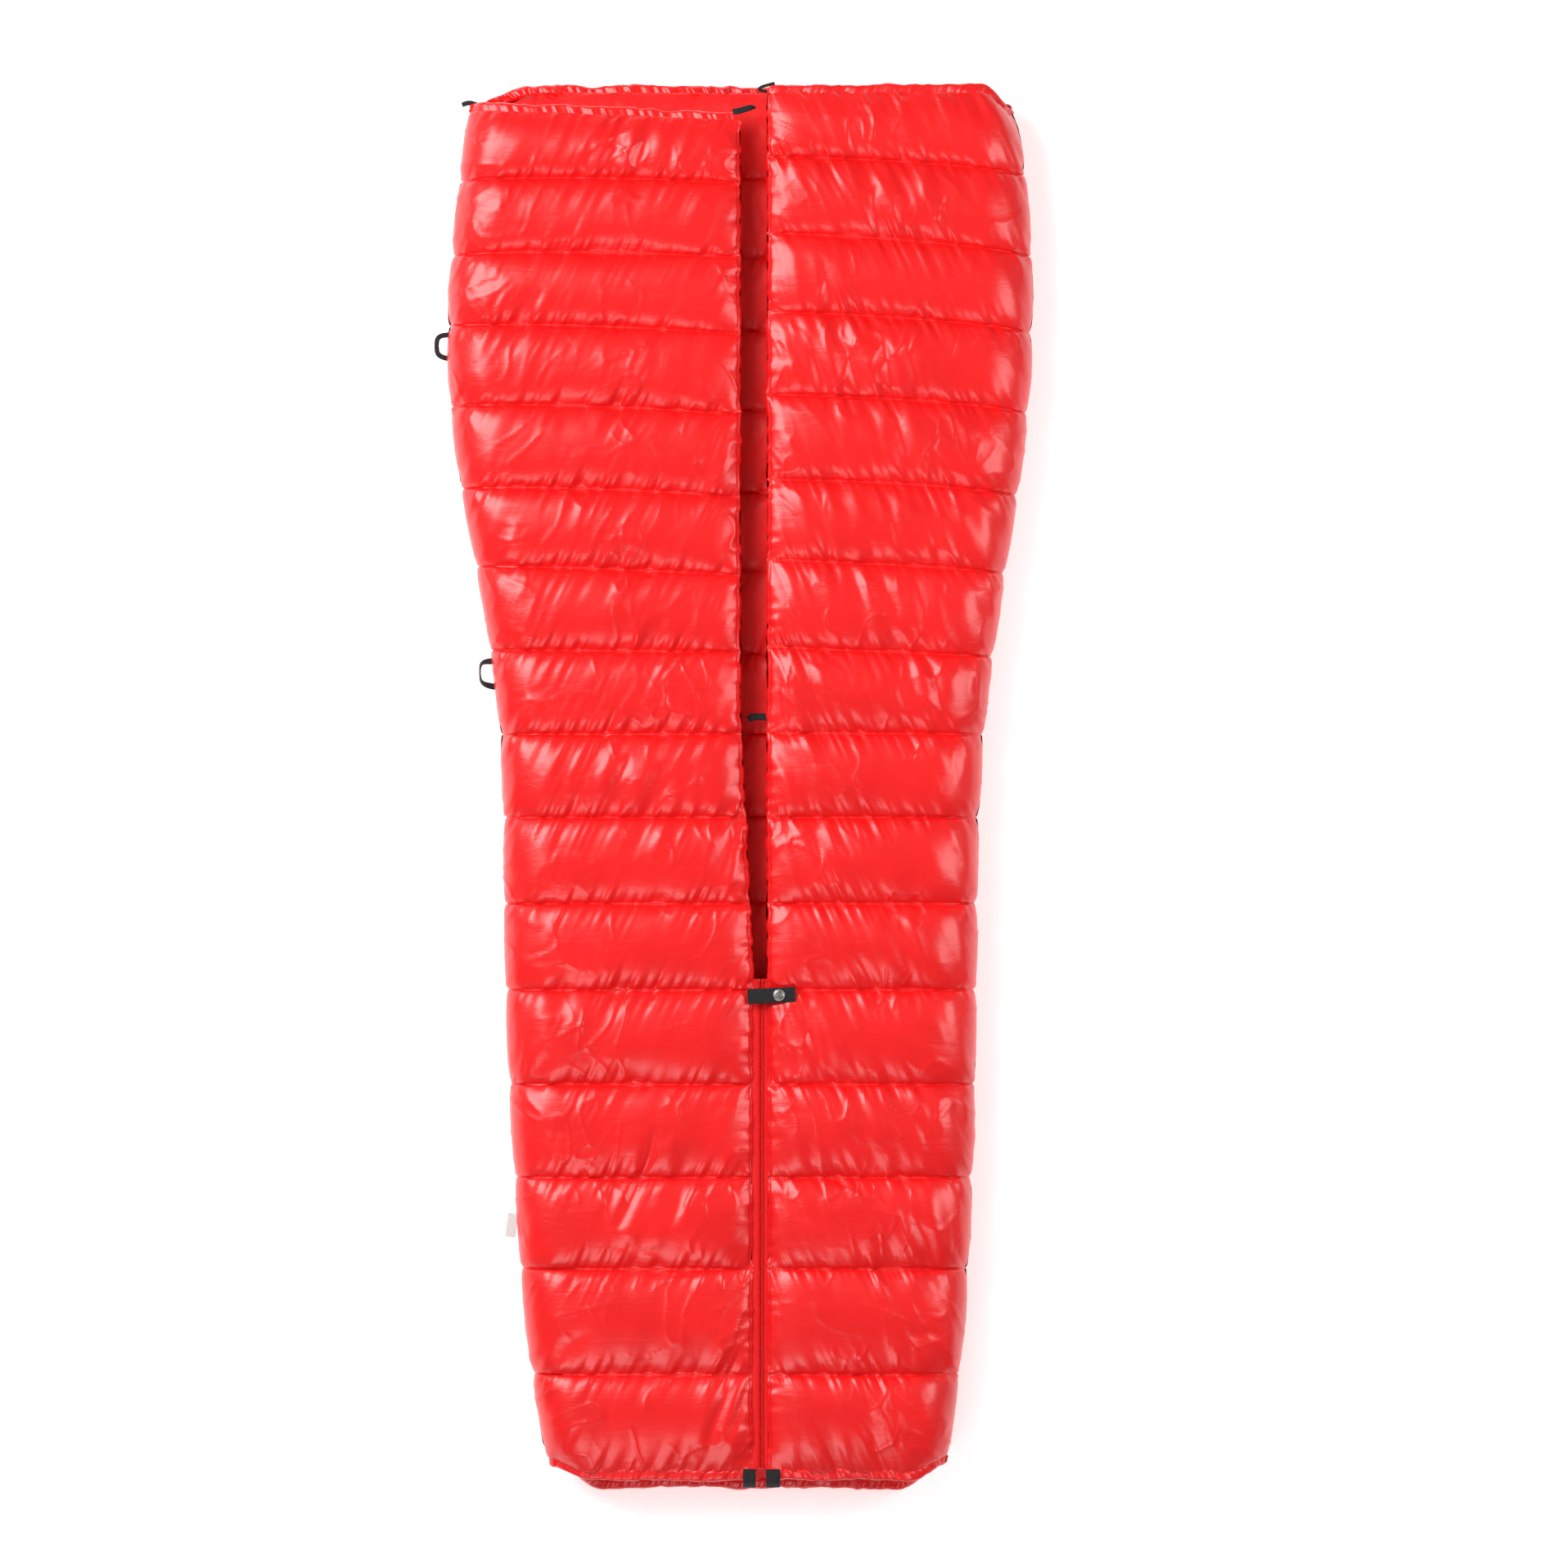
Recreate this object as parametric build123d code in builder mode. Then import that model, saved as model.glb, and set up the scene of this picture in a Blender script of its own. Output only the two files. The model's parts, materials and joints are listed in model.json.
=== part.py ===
from build123d import *
import os

os.makedirs("parts", exist_ok=True)

# A down camp quilt lying flat, wrapped round into a tube: the back panel is on the
# ground, and the two front panels fold over it and nearly meet along the middle. A zip
# closes the front from the thighs to the feet, and above it the fronts are two lapels
# that fold open. +Y runs to the head end, +X to the right as seen from above, +Z up.
# The origin is on the ground under the middle of the whole object.

# Driving dimensions, in millimetres.
SHEET = 1.0  # the thickness that each layer of fabric is drawn at
CLEAR = 0.6  # how far each side of a fold line the two bodies stop
HALF_SPAN = 450  # reaches past the quilt's sides
FAR_END = 980  # reaches past the quilt's head and foot
SIDE_LOFT = 55  # from the outer fabric to the lining at the side folds

# Where the sewn seams between the rows of down cross the quilt, from head to foot.
SEAMS = [824, 724, 621, 513, 402, 297, 184, 71, -41, -157, -273, -400, -525, -648, -790]
HEAD_BACK = 938
HEAD_LEFT = 900
HEAD_RIGHT = 932
FOOT_BACK = -938
FOOT_FRONT = -922

# The side folds, seen from above: widest at the shoulders, narrow at the feet.
LEFT_SIDE = [(-342, 980), (-368, 820), (-380.5, 690), (-371, 430), (-326, 190), (-308, -130),
             (-296, -500), (-236, -980)]
RIGHT_SIDE = [(354, 980), (393, 838), (403.2, 690), (386, 400), (350, 180), (331, -100),
              (324, -500), (276, -980)]

# The free edges of the two fronts, from head to foot, and where each lapel folds. A lapel
# starts at a seam, a little above its fold line's lower end, so that its thick lower
# corner clears the other front as it lifts.
LAPEL_FOOT = SEAMS[9]
LEFT_EDGE_TOP = [(11, FAR_END), (11, 100), (20, -100), (22.9, LAPEL_FOOT)]
LEFT_EDGE_LOW = [(22.9, LAPEL_FOOT), (28, -260), (28, -FAR_END)]
RIGHT_EDGE_TOP = [(46.5, FAR_END), (46.5, LAPEL_FOOT)]
RIGHT_EDGE_LOW = [(46.5, LAPEL_FOOT), (46.5, -FAR_END)]
LEFT_FOLD = ((26.2, -225), (-338, 915))
RIGHT_FOLD = ((46.5, -225), (352, 930))

# Heights as (at a seam, at the crown of a row), for the lower face of each layer.
BACK_OUTER = (8, 0)
BACK_LINING = (33, 45)
FRONT_LINING = (74, 62)
FRONT_OUTER = (91, 107)
FLAT_SHOULDER = 22  # how far from a seam the back rests flat on the ground


def raised(heights, by):
    """The same layer's heights, moved up."""
    seam_z, crown_z = heights
    return (seam_z + by, crown_z + by)


def stops(head, foot):
    """The ends of the rows of down, in order from head to foot."""
    return [head, *SEAMS, foot]


BACK_ROWS = stops(HEAD_BACK, FOOT_BACK)
LEFT_ROWS = stops(HEAD_LEFT, FOOT_FRONT)
RIGHT_ROWS = stops(HEAD_RIGHT, FOOT_FRONT)


def save(piece, label):
    piece.part.label = label
    export_step(piece.part, f"parts/{label}.step")


# Lines seen from the side, in Y and Z.
def scallops(rows, heights):
    """One arc over each row, down to the seams at its two ends."""
    seam_z, crown_z = heights
    for here, there in zip(rows, rows[1:]):
        ThreePointArc((here, seam_z), ((here + there) / 2, crown_z), (there, seam_z))


def flattened(rows, heights):
    """The underside of each row, pressed flat on the ground between its seams."""
    seam_z, crown_z = heights
    for here, there in zip(rows, rows[1:]):
        Polyline((here, seam_z), (here - FLAT_SHOULDER, crown_z),
                 (there + FLAT_SHOULDER, crown_z), (there, seam_z))


def between(low_line, low_rows, low, high_line, high_rows, high):
    """The face between two such lines."""
    with BuildLine() as rim:
        low_line(low_rows, low)
        high_line(high_rows, high)
        Line((low_rows[0], low[0]), (high_rows[0], high[0]))
        Line((low_rows[-1], low[0]), (high_rows[-1], high[0]))
    make_face(rim.edges())


# Areas seen from above, in X and Y.
def between_sides(inset):
    """The whole quilt, inside both side folds."""
    with BuildLine() as rim:
        left = Spline(*[(x + inset, y) for x, y in LEFT_SIDE])
        right = Spline(*[(x - inset, y) for x, y in RIGHT_SIDE])
        Line(left @ 0, right @ 0)
        Line(left @ 1, right @ 1)
    make_face(rim.edges())


def side_band(points, inset):
    """A strip one sheet wide along a side fold."""
    with BuildLine() as rim:
        outer = Spline(*[(x + inset, y) for x, y in points])
        inner = Spline(*[(x + inset + SHEET, y) for x, y in points])
        Line(outer @ 0, inner @ 0)
        Line(outer @ 1, inner @ 1)
    make_face(rim.edges())


def on_fold(fold, y):
    """X on a lapel's fold line."""
    (tip_x, tip_y), (corner_x, corner_y) = fold
    return tip_x + (y - tip_y) * (corner_x - tip_x) / (corner_y - tip_y)


def filled(points):
    with BuildLine() as rim:
        Polyline(*points, close=True)
    make_face(rim.edges())


def lapel_area(side, fold, edge_top, inset=0.0):
    """The lapel, from its fold line to its free edge. side is -1 on the left."""
    shift = -side * (CLEAR + inset)
    foot = LAPEL_FOOT + CLEAR + inset
    edge = [(x + side * inset, max(y, foot)) for x, y in edge_top]
    filled([(on_fold(fold, FAR_END) + shift, FAR_END), *edge, (on_fold(fold, foot) + shift, foot)])


def base_area(side, fold, edge_low, inset=0.0):
    """The rest of that front, from its side to the fold line and the zip."""
    shift = side * (CLEAR + inset)
    top = LAPEL_FOOT - CLEAR - inset
    edge = [(x + side * inset, min(y, top)) for x, y in edge_low]
    filled([(side * HALF_SPAN, FAR_END), (on_fold(fold, FAR_END) + shift, FAR_END),
            (on_fold(fold, top) + shift, top), *edge, (side * HALF_SPAN, -FAR_END)])


def edge_strip(side, points):
    """A strip one sheet wide along a free edge."""
    back = [(x + side * SHEET, y) for x, y in reversed(points)]
    filled([*points, *back])


def left_lapel(inset=0.0):
    lapel_area(-1, LEFT_FOLD, LEFT_EDGE_TOP, inset)


def right_lapel(inset=0.0):
    lapel_area(1, RIGHT_FOLD, RIGHT_EDGE_TOP, inset)


def left_base(inset=0.0):
    base_area(-1, LEFT_FOLD, LEFT_EDGE_LOW, inset)


def right_base(inset=0.0):
    base_area(1, RIGHT_FOLD, RIGHT_EDGE_LOW, inset)


def cut_to(*areas):
    """Keeps what lies under all the given areas of the part being built."""
    for area, settings in areas:
        with BuildSketch() as plan:
            area(*settings)
        extrude(plan.sketch, amount=2 * FAR_END, mode=Mode.INTERSECT)


# The fabric layers: the outer shell, and the lining inside it.
def layer(label, line, rows, heights, *areas):
    with BuildPart() as piece:
        with BuildSketch(Plane.YZ.offset(-HALF_SPAN)) as profile:
            between(line, rows, heights, line, rows, raised(heights, SHEET))
        extrude(profile.sketch, amount=2 * HALF_SPAN)
        cut_to(*areas)
    save(piece, label)


inside_folds = (between_sides, [0])
inside_lining = (between_sides, [SIDE_LOFT])

layer("back_outer_shell", flattened, BACK_ROWS, BACK_OUTER, inside_folds)
layer("back_lining", scallops, BACK_ROWS, BACK_LINING, inside_lining)

FRONTS = [
    ("lower_left", LEFT_ROWS, left_base),
    ("lower_right", RIGHT_ROWS, right_base),
    ("left_lapel", LEFT_ROWS, left_lapel),
    ("right_lapel", RIGHT_ROWS, right_lapel),
]
for name, rows, area in FRONTS:
    layer(f"{name}_outer_shell", scallops, rows, FRONT_OUTER, inside_folds, (area, []))
    layer(f"{name}_lining", scallops, rows, FRONT_LINING, inside_lining, (area, []))


# The shell and the lining turn up at the side folds, from the back to the fronts.
LINING_CLEAR = 2  # the side lining stops this far below the fronts, which lift


def side_walls(label, inset, low_line, low, high):
    with BuildPart() as piece:
        for points, rows, side in ((LEFT_SIDE, LEFT_ROWS, 1), (RIGHT_SIDE, RIGHT_ROWS, -1)):
            with BuildPart(mode=Mode.PRIVATE) as wall:
                with BuildSketch(Plane.YZ.offset(-HALF_SPAN)) as profile:
                    between(low_line, BACK_ROWS, low, scallops, rows, high)
                extrude(profile.sketch, amount=2 * HALF_SPAN)
                start = inset if side > 0 else -inset - SHEET
                cut_to((side_band, [points, start]))
            add(wall.part)
    save(piece, label)


side_walls("side_outer_shells", 0, flattened, raised(BACK_OUTER, SHEET), FRONT_OUTER)
side_walls("side_linings", SIDE_LOFT, scallops, raised(BACK_LINING, SHEET),
           raised(FRONT_LINING, -LINING_CLEAR))

# Facings close the rows of down along the fronts' free edges.
FRONT_INSIDE = (raised(FRONT_LINING, SHEET), FRONT_OUTER)
FACING_GAP = 1.2  # along the edge, from the seam where a lapel starts to each facing


def facing(label, rows, side, edges):
    with BuildPart() as piece:
        with BuildSketch(Plane.YZ.offset(-HALF_SPAN)) as profile:
            between(scallops, rows, FRONT_INSIDE[0], scallops, rows, FRONT_INSIDE[1])
        extrude(profile.sketch, amount=2 * HALF_SPAN)
        cut_to((edge_strip, [side, edges]))
    save(piece, label)


def above_foot(edge):
    return [(x, max(y, LAPEL_FOOT + FACING_GAP)) for x, y in edge]


def below_foot(edge):
    return [(x, min(y, LAPEL_FOOT - FACING_GAP)) for x, y in edge]


facing("left_lapel_facing", LEFT_ROWS, -1, above_foot(LEFT_EDGE_TOP))
facing("right_lapel_facing", RIGHT_ROWS, 1, above_foot(RIGHT_EDGE_TOP))
facing("left_zip_facing", LEFT_ROWS, -1, below_foot(LEFT_EDGE_LOW))
facing("right_zip_facing", RIGHT_ROWS, 1, below_foot(RIGHT_EDGE_LOW))

# The down, drawn as one settled core in each row, and the mesh walls between the rows.
FILL_THICK = 9
FILL_INSET = 4
SEAM_ROOM = 8  # from a seam to the down on each side of it
WALL_THICK = 0.5
WALL_CLEAR = 0.4  # above and below a wall, to the fabric that it is sewn to
BACK_FILL_Z = 23
FRONT_FILL_Z = 85


def down_cores(label, middle_z, fronts):
    """Rounded bars across the quilt, one in each row of each front."""
    with BuildPart() as piece:
        for rows, area in fronts:
            with BuildPart(mode=Mode.PRIVATE) as bars:
                for here, there in zip(rows, rows[1:]):
                    middle = Plane.YZ.offset(-HALF_SPAN)
                    with BuildSketch(middle) as section:
                        with Locations(((here + there) / 2, middle_z)):
                            SlotOverall(here - there - 2 * SEAM_ROOM, FILL_THICK)
                    extrude(section.sketch, amount=2 * HALF_SPAN)
                cut_to((between_sides, [FILL_INSET]), (area, [FILL_INSET]))
            add(bars.part)
    save(piece, label)


def baffle_walls(label, low_z, high_z, fronts):
    """One upright mesh wall under each seam of each front."""
    with BuildPart() as piece:
        for rows, area in fronts:
            with BuildPart(mode=Mode.PRIVATE) as walls:
                for seam in rows[1:-1]:
                    with BuildSketch(Plane.YZ.offset(-HALF_SPAN)) as section:
                        with Locations((seam, (low_z + high_z) / 2)):
                            Rectangle(WALL_THICK, high_z - low_z - 2 * WALL_CLEAR)
                    extrude(section.sketch, amount=2 * HALF_SPAN)
                cut_to((between_sides, [FILL_INSET]), (area, [FILL_INSET]))
            add(walls.part)
    save(piece, label)


def whole_back(inset):
    between_sides(inset)


BACK = [(BACK_ROWS, whole_back)]
BASE = [(LEFT_ROWS, left_base), (RIGHT_ROWS, right_base)]
back_wall = (BACK_OUTER[0] + SHEET, BACK_LINING[0])
front_wall = (FRONT_LINING[0] + SHEET, FRONT_OUTER[0])

down_cores("back_down_fill", BACK_FILL_Z, BACK)
down_cores("lower_front_down_fill", FRONT_FILL_Z, BASE)
down_cores("left_lapel_down_fill", FRONT_FILL_Z, [(LEFT_ROWS, left_lapel)])
down_cores("right_lapel_down_fill", FRONT_FILL_Z, [(RIGHT_ROWS, right_lapel)])
baffle_walls("back_baffle_walls", *back_wall, BACK)
baffle_walls("lower_front_baffle_walls", *front_wall, BASE)
baffle_walls("left_lapel_baffle_walls", *front_wall, [(LEFT_ROWS, left_lapel)])
baffle_walls("right_lapel_baffle_walls", *front_wall, [(RIGHT_ROWS, right_lapel)])

# Hems: a sewn casing along each end of the fabric, with an elastic cord inside.
HEM_DEEP = 12
FOOT_HEM_DEEP = 10
HEM_WALL = 1
CORD_RADIUS = 1.5
END_ROOM = 2  # the cord stops this far inside its casing
BACK_HEM_Z = (BACK_OUTER[0] + SHEET, BACK_LINING[0])
FRONT_HEM_Z = (FRONT_LINING[0] + SHEET, FRONT_OUTER[0] + SHEET)


def casing(y, deep, heights, x_from, x_to):
    """A flat tube along X; y is its edge nearer the head."""
    low, high = heights
    with BuildSketch(Plane.YZ.offset(x_from)) as section:
        with Locations((y - deep / 2, (low + high) / 2)):
            Rectangle(deep, high - low)
            Rectangle(deep - 2 * HEM_WALL, high - low - 2 * HEM_WALL, mode=Mode.SUBTRACT)
    extrude(section.sketch, amount=x_to - x_from)


def cord(y, deep, heights, x_from, x_to):
    """The elastic cord inside such a casing."""
    low, high = heights
    with BuildSketch(Plane.YZ.offset(x_from + END_ROOM)) as section:
        with Locations((y - deep / 2, (low + high) / 2)):
            Circle(CORD_RADIUS)
    extrude(section.sketch, amount=x_to - x_from - 2 * END_ROOM)


back_head = (HEAD_BACK + HEM_DEEP, HEM_DEEP, BACK_HEM_Z, -344, 356)
left_head = (HEAD_LEFT + HEM_DEEP, HEM_DEEP, FRONT_HEM_Z, -333, 11)
right_head = (HEAD_RIGHT + HEM_DEEP, HEM_DEEP, FRONT_HEM_Z, 46.5, 350)
back_foot = (FOOT_BACK, HEM_DEEP, BACK_HEM_Z, -240, 280)
left_foot = (FOOT_FRONT, FOOT_HEM_DEEP, FRONT_HEM_Z, -243, 28)
right_foot = (FOOT_FRONT, FOOT_HEM_DEEP, FRONT_HEM_Z, 46.5, 282)

HEMS = [
    ("back_head", [back_head], None),
    ("left_lapel_head", [left_head], left_lapel),
    ("right_lapel_head", [right_head], right_lapel),
    ("back_foot", [back_foot], None),
    ("front_foot", [left_foot, right_foot], None),
]
for name, runs, area in HEMS:
    with BuildPart() as hem:
        for run in runs:
            casing(*run)
        if area:
            cut_to((area, []))
    save(hem, f"{name}_hem")

HEAD_CORDS = [
    ("back_head", [back_head], None),
    ("left_lapel_head", [left_head], left_lapel),
    ("right_lapel_head", [right_head], right_lapel),
]
for name, runs, area in HEAD_CORDS:
    with BuildPart() as elastic:
        for run in runs:
            cord(*run)
        if area:
            cut_to((area, [END_ROOM]))
    save(elastic, f"{name}_elastic")

with BuildPart() as foot_elastic:
    for run in (back_foot, left_foot, right_foot):
        cord(*run)
save(foot_elastic, "foot_elastic")


def block(x, y, z):
    """A box from its lowest to its highest X, Y and Z."""
    with BuildSketch(Plane.XY.offset(z[0])) as base:
        with Locations(((x[0] + x[1]) / 2, (y[0] + y[1]) / 2)):
            Rectangle(x[1] - x[0], y[1] - y[0])
    extrude(base.sketch, amount=z[1] - z[0])


# The zip, in the gap between the two zip facings.
ZIP_X = 38
ZIP_TOP = -258
ZIP_FOOT = -918
TAPE_Z = (89.2, 90)
COIL_Z = (90, 93)
BLADE_GAP = 1.2  # between the two coils, where the slider's post runs
COIL_WIDE = 3.4
TAPE_OVER = 2.6  # how much of the coil lies on its tape
STOP_LONG = 4
BOX_HALF = 5


def zip_half(side):
    """The X range of one coil, and of its tape out to the facing."""
    near = ZIP_X + side * BLADE_GAP / 2
    far = near + side * COIL_WIDE
    facing_x = LEFT_EDGE_LOW[-1][0] if side < 0 else RIGHT_EDGE_LOW[-1][0]
    return sorted((near, far)), sorted((far - side * TAPE_OVER, facing_x))


for name, side in (("left", -1), ("right", 1)):
    coil_x, tape_x = zip_half(side)
    with BuildPart() as tape:
        block(tape_x, (ZIP_FOOT, ZIP_TOP), TAPE_Z)
    save(tape, f"zip_tape_{name}")
    with BuildPart() as coil:
        block(coil_x, (ZIP_FOOT + STOP_LONG, ZIP_TOP - STOP_LONG), COIL_Z)
        fillet(coil.edges().filter_by(Axis.Y).group_by(Axis.Z)[-1], radius=COIL_WIDE / 3)
    save(coil, f"zip_coil_{name}")

with BuildPart() as top_stops:
    for side in (-1, 1):
        block(zip_half(side)[0], (ZIP_TOP - STOP_LONG, ZIP_TOP), COIL_Z)
save(top_stops, "zip_top_stops")

with BuildPart() as bottom_stop:
    block((ZIP_X - BOX_HALF, ZIP_X + BOX_HALF), (ZIP_FOOT, ZIP_FOOT + STOP_LONG),
          (COIL_Z[0], COIL_Z[1] + 0.8))
save(bottom_stop, "zip_bottom_stop")

# The slider: two plates round the coils, joined by a thin post between them, and two
# ears under it with the pin that the pull hangs from, on the lining side.
SLIDER_Y = (-287, -275)
SLIDER_HALF = 7
PLATE_THICK = 1.5
PLATE_GAP = 0.3
POST_THICK = 0.8
POST_LONG = 3
EAR_X = ((33.6, 35.2), (40.8, 42.4))
EAR_Y = (-284, -278)
PIN_RADIUS = 0.8
PIN_Y = (EAR_Y[0] + EAR_Y[1]) / 2
top_plate = (COIL_Z[1] + PLATE_GAP, COIL_Z[1] + PLATE_GAP + PLATE_THICK)
low_plate = (TAPE_Z[0] - PLATE_GAP - PLATE_THICK, TAPE_Z[0] - PLATE_GAP)
PIN_Z = low_plate[0] - 2.6
slider_x = (ZIP_X - SLIDER_HALF, ZIP_X + SLIDER_HALF)

with BuildPart() as slider:
    block(slider_x, SLIDER_Y, top_plate)
    block(slider_x, SLIDER_Y, low_plate)
    block((ZIP_X - POST_THICK / 2, ZIP_X + POST_THICK / 2),
          (SLIDER_Y[1] - POST_LONG, SLIDER_Y[1]), (low_plate[0], top_plate[1]))
    fillet(slider.edges().filter_by(Axis.Z).filter_by_position(Axis.Y, *SLIDER_Y)
           .group_by(Axis.X)[0], radius=PLATE_THICK)
    for ear in EAR_X:
        block(ear, EAR_Y, (PIN_Z - 1.8, low_plate[0]))
    with BuildSketch(Plane.YZ.offset(EAR_X[0][0])) as pin:
        with Locations((PIN_Y, PIN_Z)):
            Circle(PIN_RADIUS)
    extrude(pin.sketch, amount=EAR_X[1][1] - EAR_X[0][0])
save(slider, "zip_slider_body")

PULL_EYE = 2.1
PULL_BORE = PIN_RADIUS + 0.45
PULL_LONG = 12
PULL_THICK = 1.6
PULL_X = (35.6, 40.4)
with BuildPart() as pull:
    with BuildSketch(Plane.YZ.offset(PULL_X[0])) as profile:
        with Locations((PIN_Y, PIN_Z)):
            Circle(PULL_EYE)
        with Locations((PIN_Y, PIN_Z - PULL_LONG / 2)):
            Rectangle(PULL_THICK, PULL_LONG)
        with Locations((PIN_Y, PIN_Z)):
            Circle(PULL_BORE, mode=Mode.SUBTRACT)
    extrude(profile.sketch, amount=PULL_X[1] - PULL_X[0])
save(pull, "zip_pull")

# A flap of fabric lies behind the zip and keeps the draught out.
with BuildPart() as draft_flap:
    block((28, 45.5), (FOOT_FRONT, -268), (66, 67.5))
save(draft_flap, "zip_draft_flap")

# The webbing strap over the top of the zip, with its press stud.
STRAP_Y = (-291.5, -269.5)
STRAP_Z = (103, 104.5)
STRAP_END = 84.7
ANCHOR_X = (19.8, 30)
SNAP_X = 62.6
SNAP_Y = -279.5
PATCH_Z = (98.9, 99.9)
CAP_RADIUS = 8.1
CAP_HIGH = 2.8

with BuildPart() as anchor:
    block(ANCHOR_X, STRAP_Y, (100.2, STRAP_Z[1]))
save(anchor, "snap_strap_anchor")

with BuildPart() as strap:
    block((ANCHOR_X[1] + CLEAR, STRAP_END), STRAP_Y, STRAP_Z)
    fillet(strap.edges().filter_by(Axis.Z).group_by(Axis.X)[-1], radius=1.5)
save(strap, "snap_strap")

with BuildPart() as cap:
    with BuildSketch(Plane.XZ.offset(-SNAP_Y)) as dome:
        with BuildLine() as rim:
            ThreePointArc((SNAP_X, STRAP_Z[1] + CAP_HIGH), (SNAP_X + 5, STRAP_Z[1] + 2.2),
                          (SNAP_X + CAP_RADIUS, STRAP_Z[1] + 0.8))
            Polyline((SNAP_X + CAP_RADIUS, STRAP_Z[1] + 0.8), (SNAP_X + CAP_RADIUS, STRAP_Z[1]),
                     (SNAP_X, STRAP_Z[1]), (SNAP_X, STRAP_Z[1] + CAP_HIGH))
        make_face(rim.edges())
    revolve(dome.sketch, axis=Axis((SNAP_X, SNAP_Y, 0), (0, 0, 1)))
save(cap, "snap_cap")


def disc(z_from, z_to, radius, bore=0.0):
    """A round plate of the press stud, with a hole where bore is given."""
    with BuildSketch(Plane.XY.offset(z_from)) as face:
        with Locations((SNAP_X, SNAP_Y)):
            Circle(radius)
            if bore:
                Circle(bore, mode=Mode.SUBTRACT)
    extrude(face.sketch, amount=z_to - z_from)


with BuildPart() as socket:
    disc(STRAP_Z[0] - 2, STRAP_Z[0], 6, bore=3.2)
save(socket, "snap_socket")

with BuildPart() as patch:
    block((SNAP_X - 8.5, SNAP_X + 8.5), (-288, -271), PATCH_Z)
save(patch, "snap_stud_patch")

with BuildPart() as stud:
    disc(PATCH_Z[1], PATCH_Z[1] + 0.6, 5)
    disc(PATCH_Z[1] + 0.6, STRAP_Z[0] - 0.4, 2.4)
save(stud, "snap_stud")


# Loops of webbing, sewn into the seams.
def web_loop(label, root_x, tip_x, y_from, y_to, z, band, side, root_in):
    """A flat D of webbing; its straight side is sewn in and its bow points outwards."""
    middle = (y_from + y_to) / 2
    with BuildPart() as loop:
        with BuildSketch(Plane.XY.offset(z[0])) as face:
            with BuildLine() as rim:
                ThreePointArc((root_x, y_from), (tip_x, middle), (root_x, y_to))
                Line((root_x, y_from), (root_x, y_to))
            make_face(rim.edges())
            with BuildLine() as hole:
                ThreePointArc((root_in, y_from + band), (tip_x - side * band, middle),
                              (root_in, y_to - band))
                Line((root_in, y_from + band), (root_in, y_to - band))
            make_face(hole.edges(), mode=Mode.SUBTRACT)
        extrude(face.sketch, amount=z[1] - z[0])
    save(loop, label)


LOOP_Z = (53, 55)
web_loop("side_loop_upper", -375, -403.2, 570, 614, LOOP_Z, 8, -1, -380)
web_loop("side_loop_lower", -320, -342, 129, 175.5, LOOP_Z, 7, -1, -326)
web_loop("right_corner_loop", 46, 33.5, 929, 949, (83, 85), 5.5, -1, 45.2)


TABS = [
    ("left_corner_loop", (11.2, 28.6), (902, 911), (80, 83)),
    ("centre_edge_loop", (21, 46.4), (87.5, 97.5), (66.6, 69)),
    ("foot_tab_left", (13.2, 31.9), (-943, -932.2), (82, 85)),
    ("foot_tab_right", (44, 66), (-943, -932.2), (82, 85)),
    ("head_corner_tab", (-366.8, -354.7), (914.7, 925.7), (24, 27)),
]
for name, x, y, z in TABS:
    with BuildPart() as tab:
        block(x, y, z)
        fillet(tab.edges().filter_by(Axis.Z), radius=1.2)
    save(tab, name)

# A blank tag of white tape in the left side seam.
with BuildPart() as tag:
    block((-306, -293.5), (-606, -575), (58, 58.6))
save(tag, "blank_side_tag")
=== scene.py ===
# %% [markdown]
# # A down camp quilt, lying flat and closed
# The quilt is a long tube of glossy red nylon filled with down. Its back panel lies on
# the ground, and two front panels fold over from the sides and nearly meet along the
# middle. Sewn seams separate the rows of down, so each row is a soft pillow. The
# CAD model gives every size and place; here the cloth, the thread and the fittings are
# made to look like what they are.

# %% Load the frame
import json
import math

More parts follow.
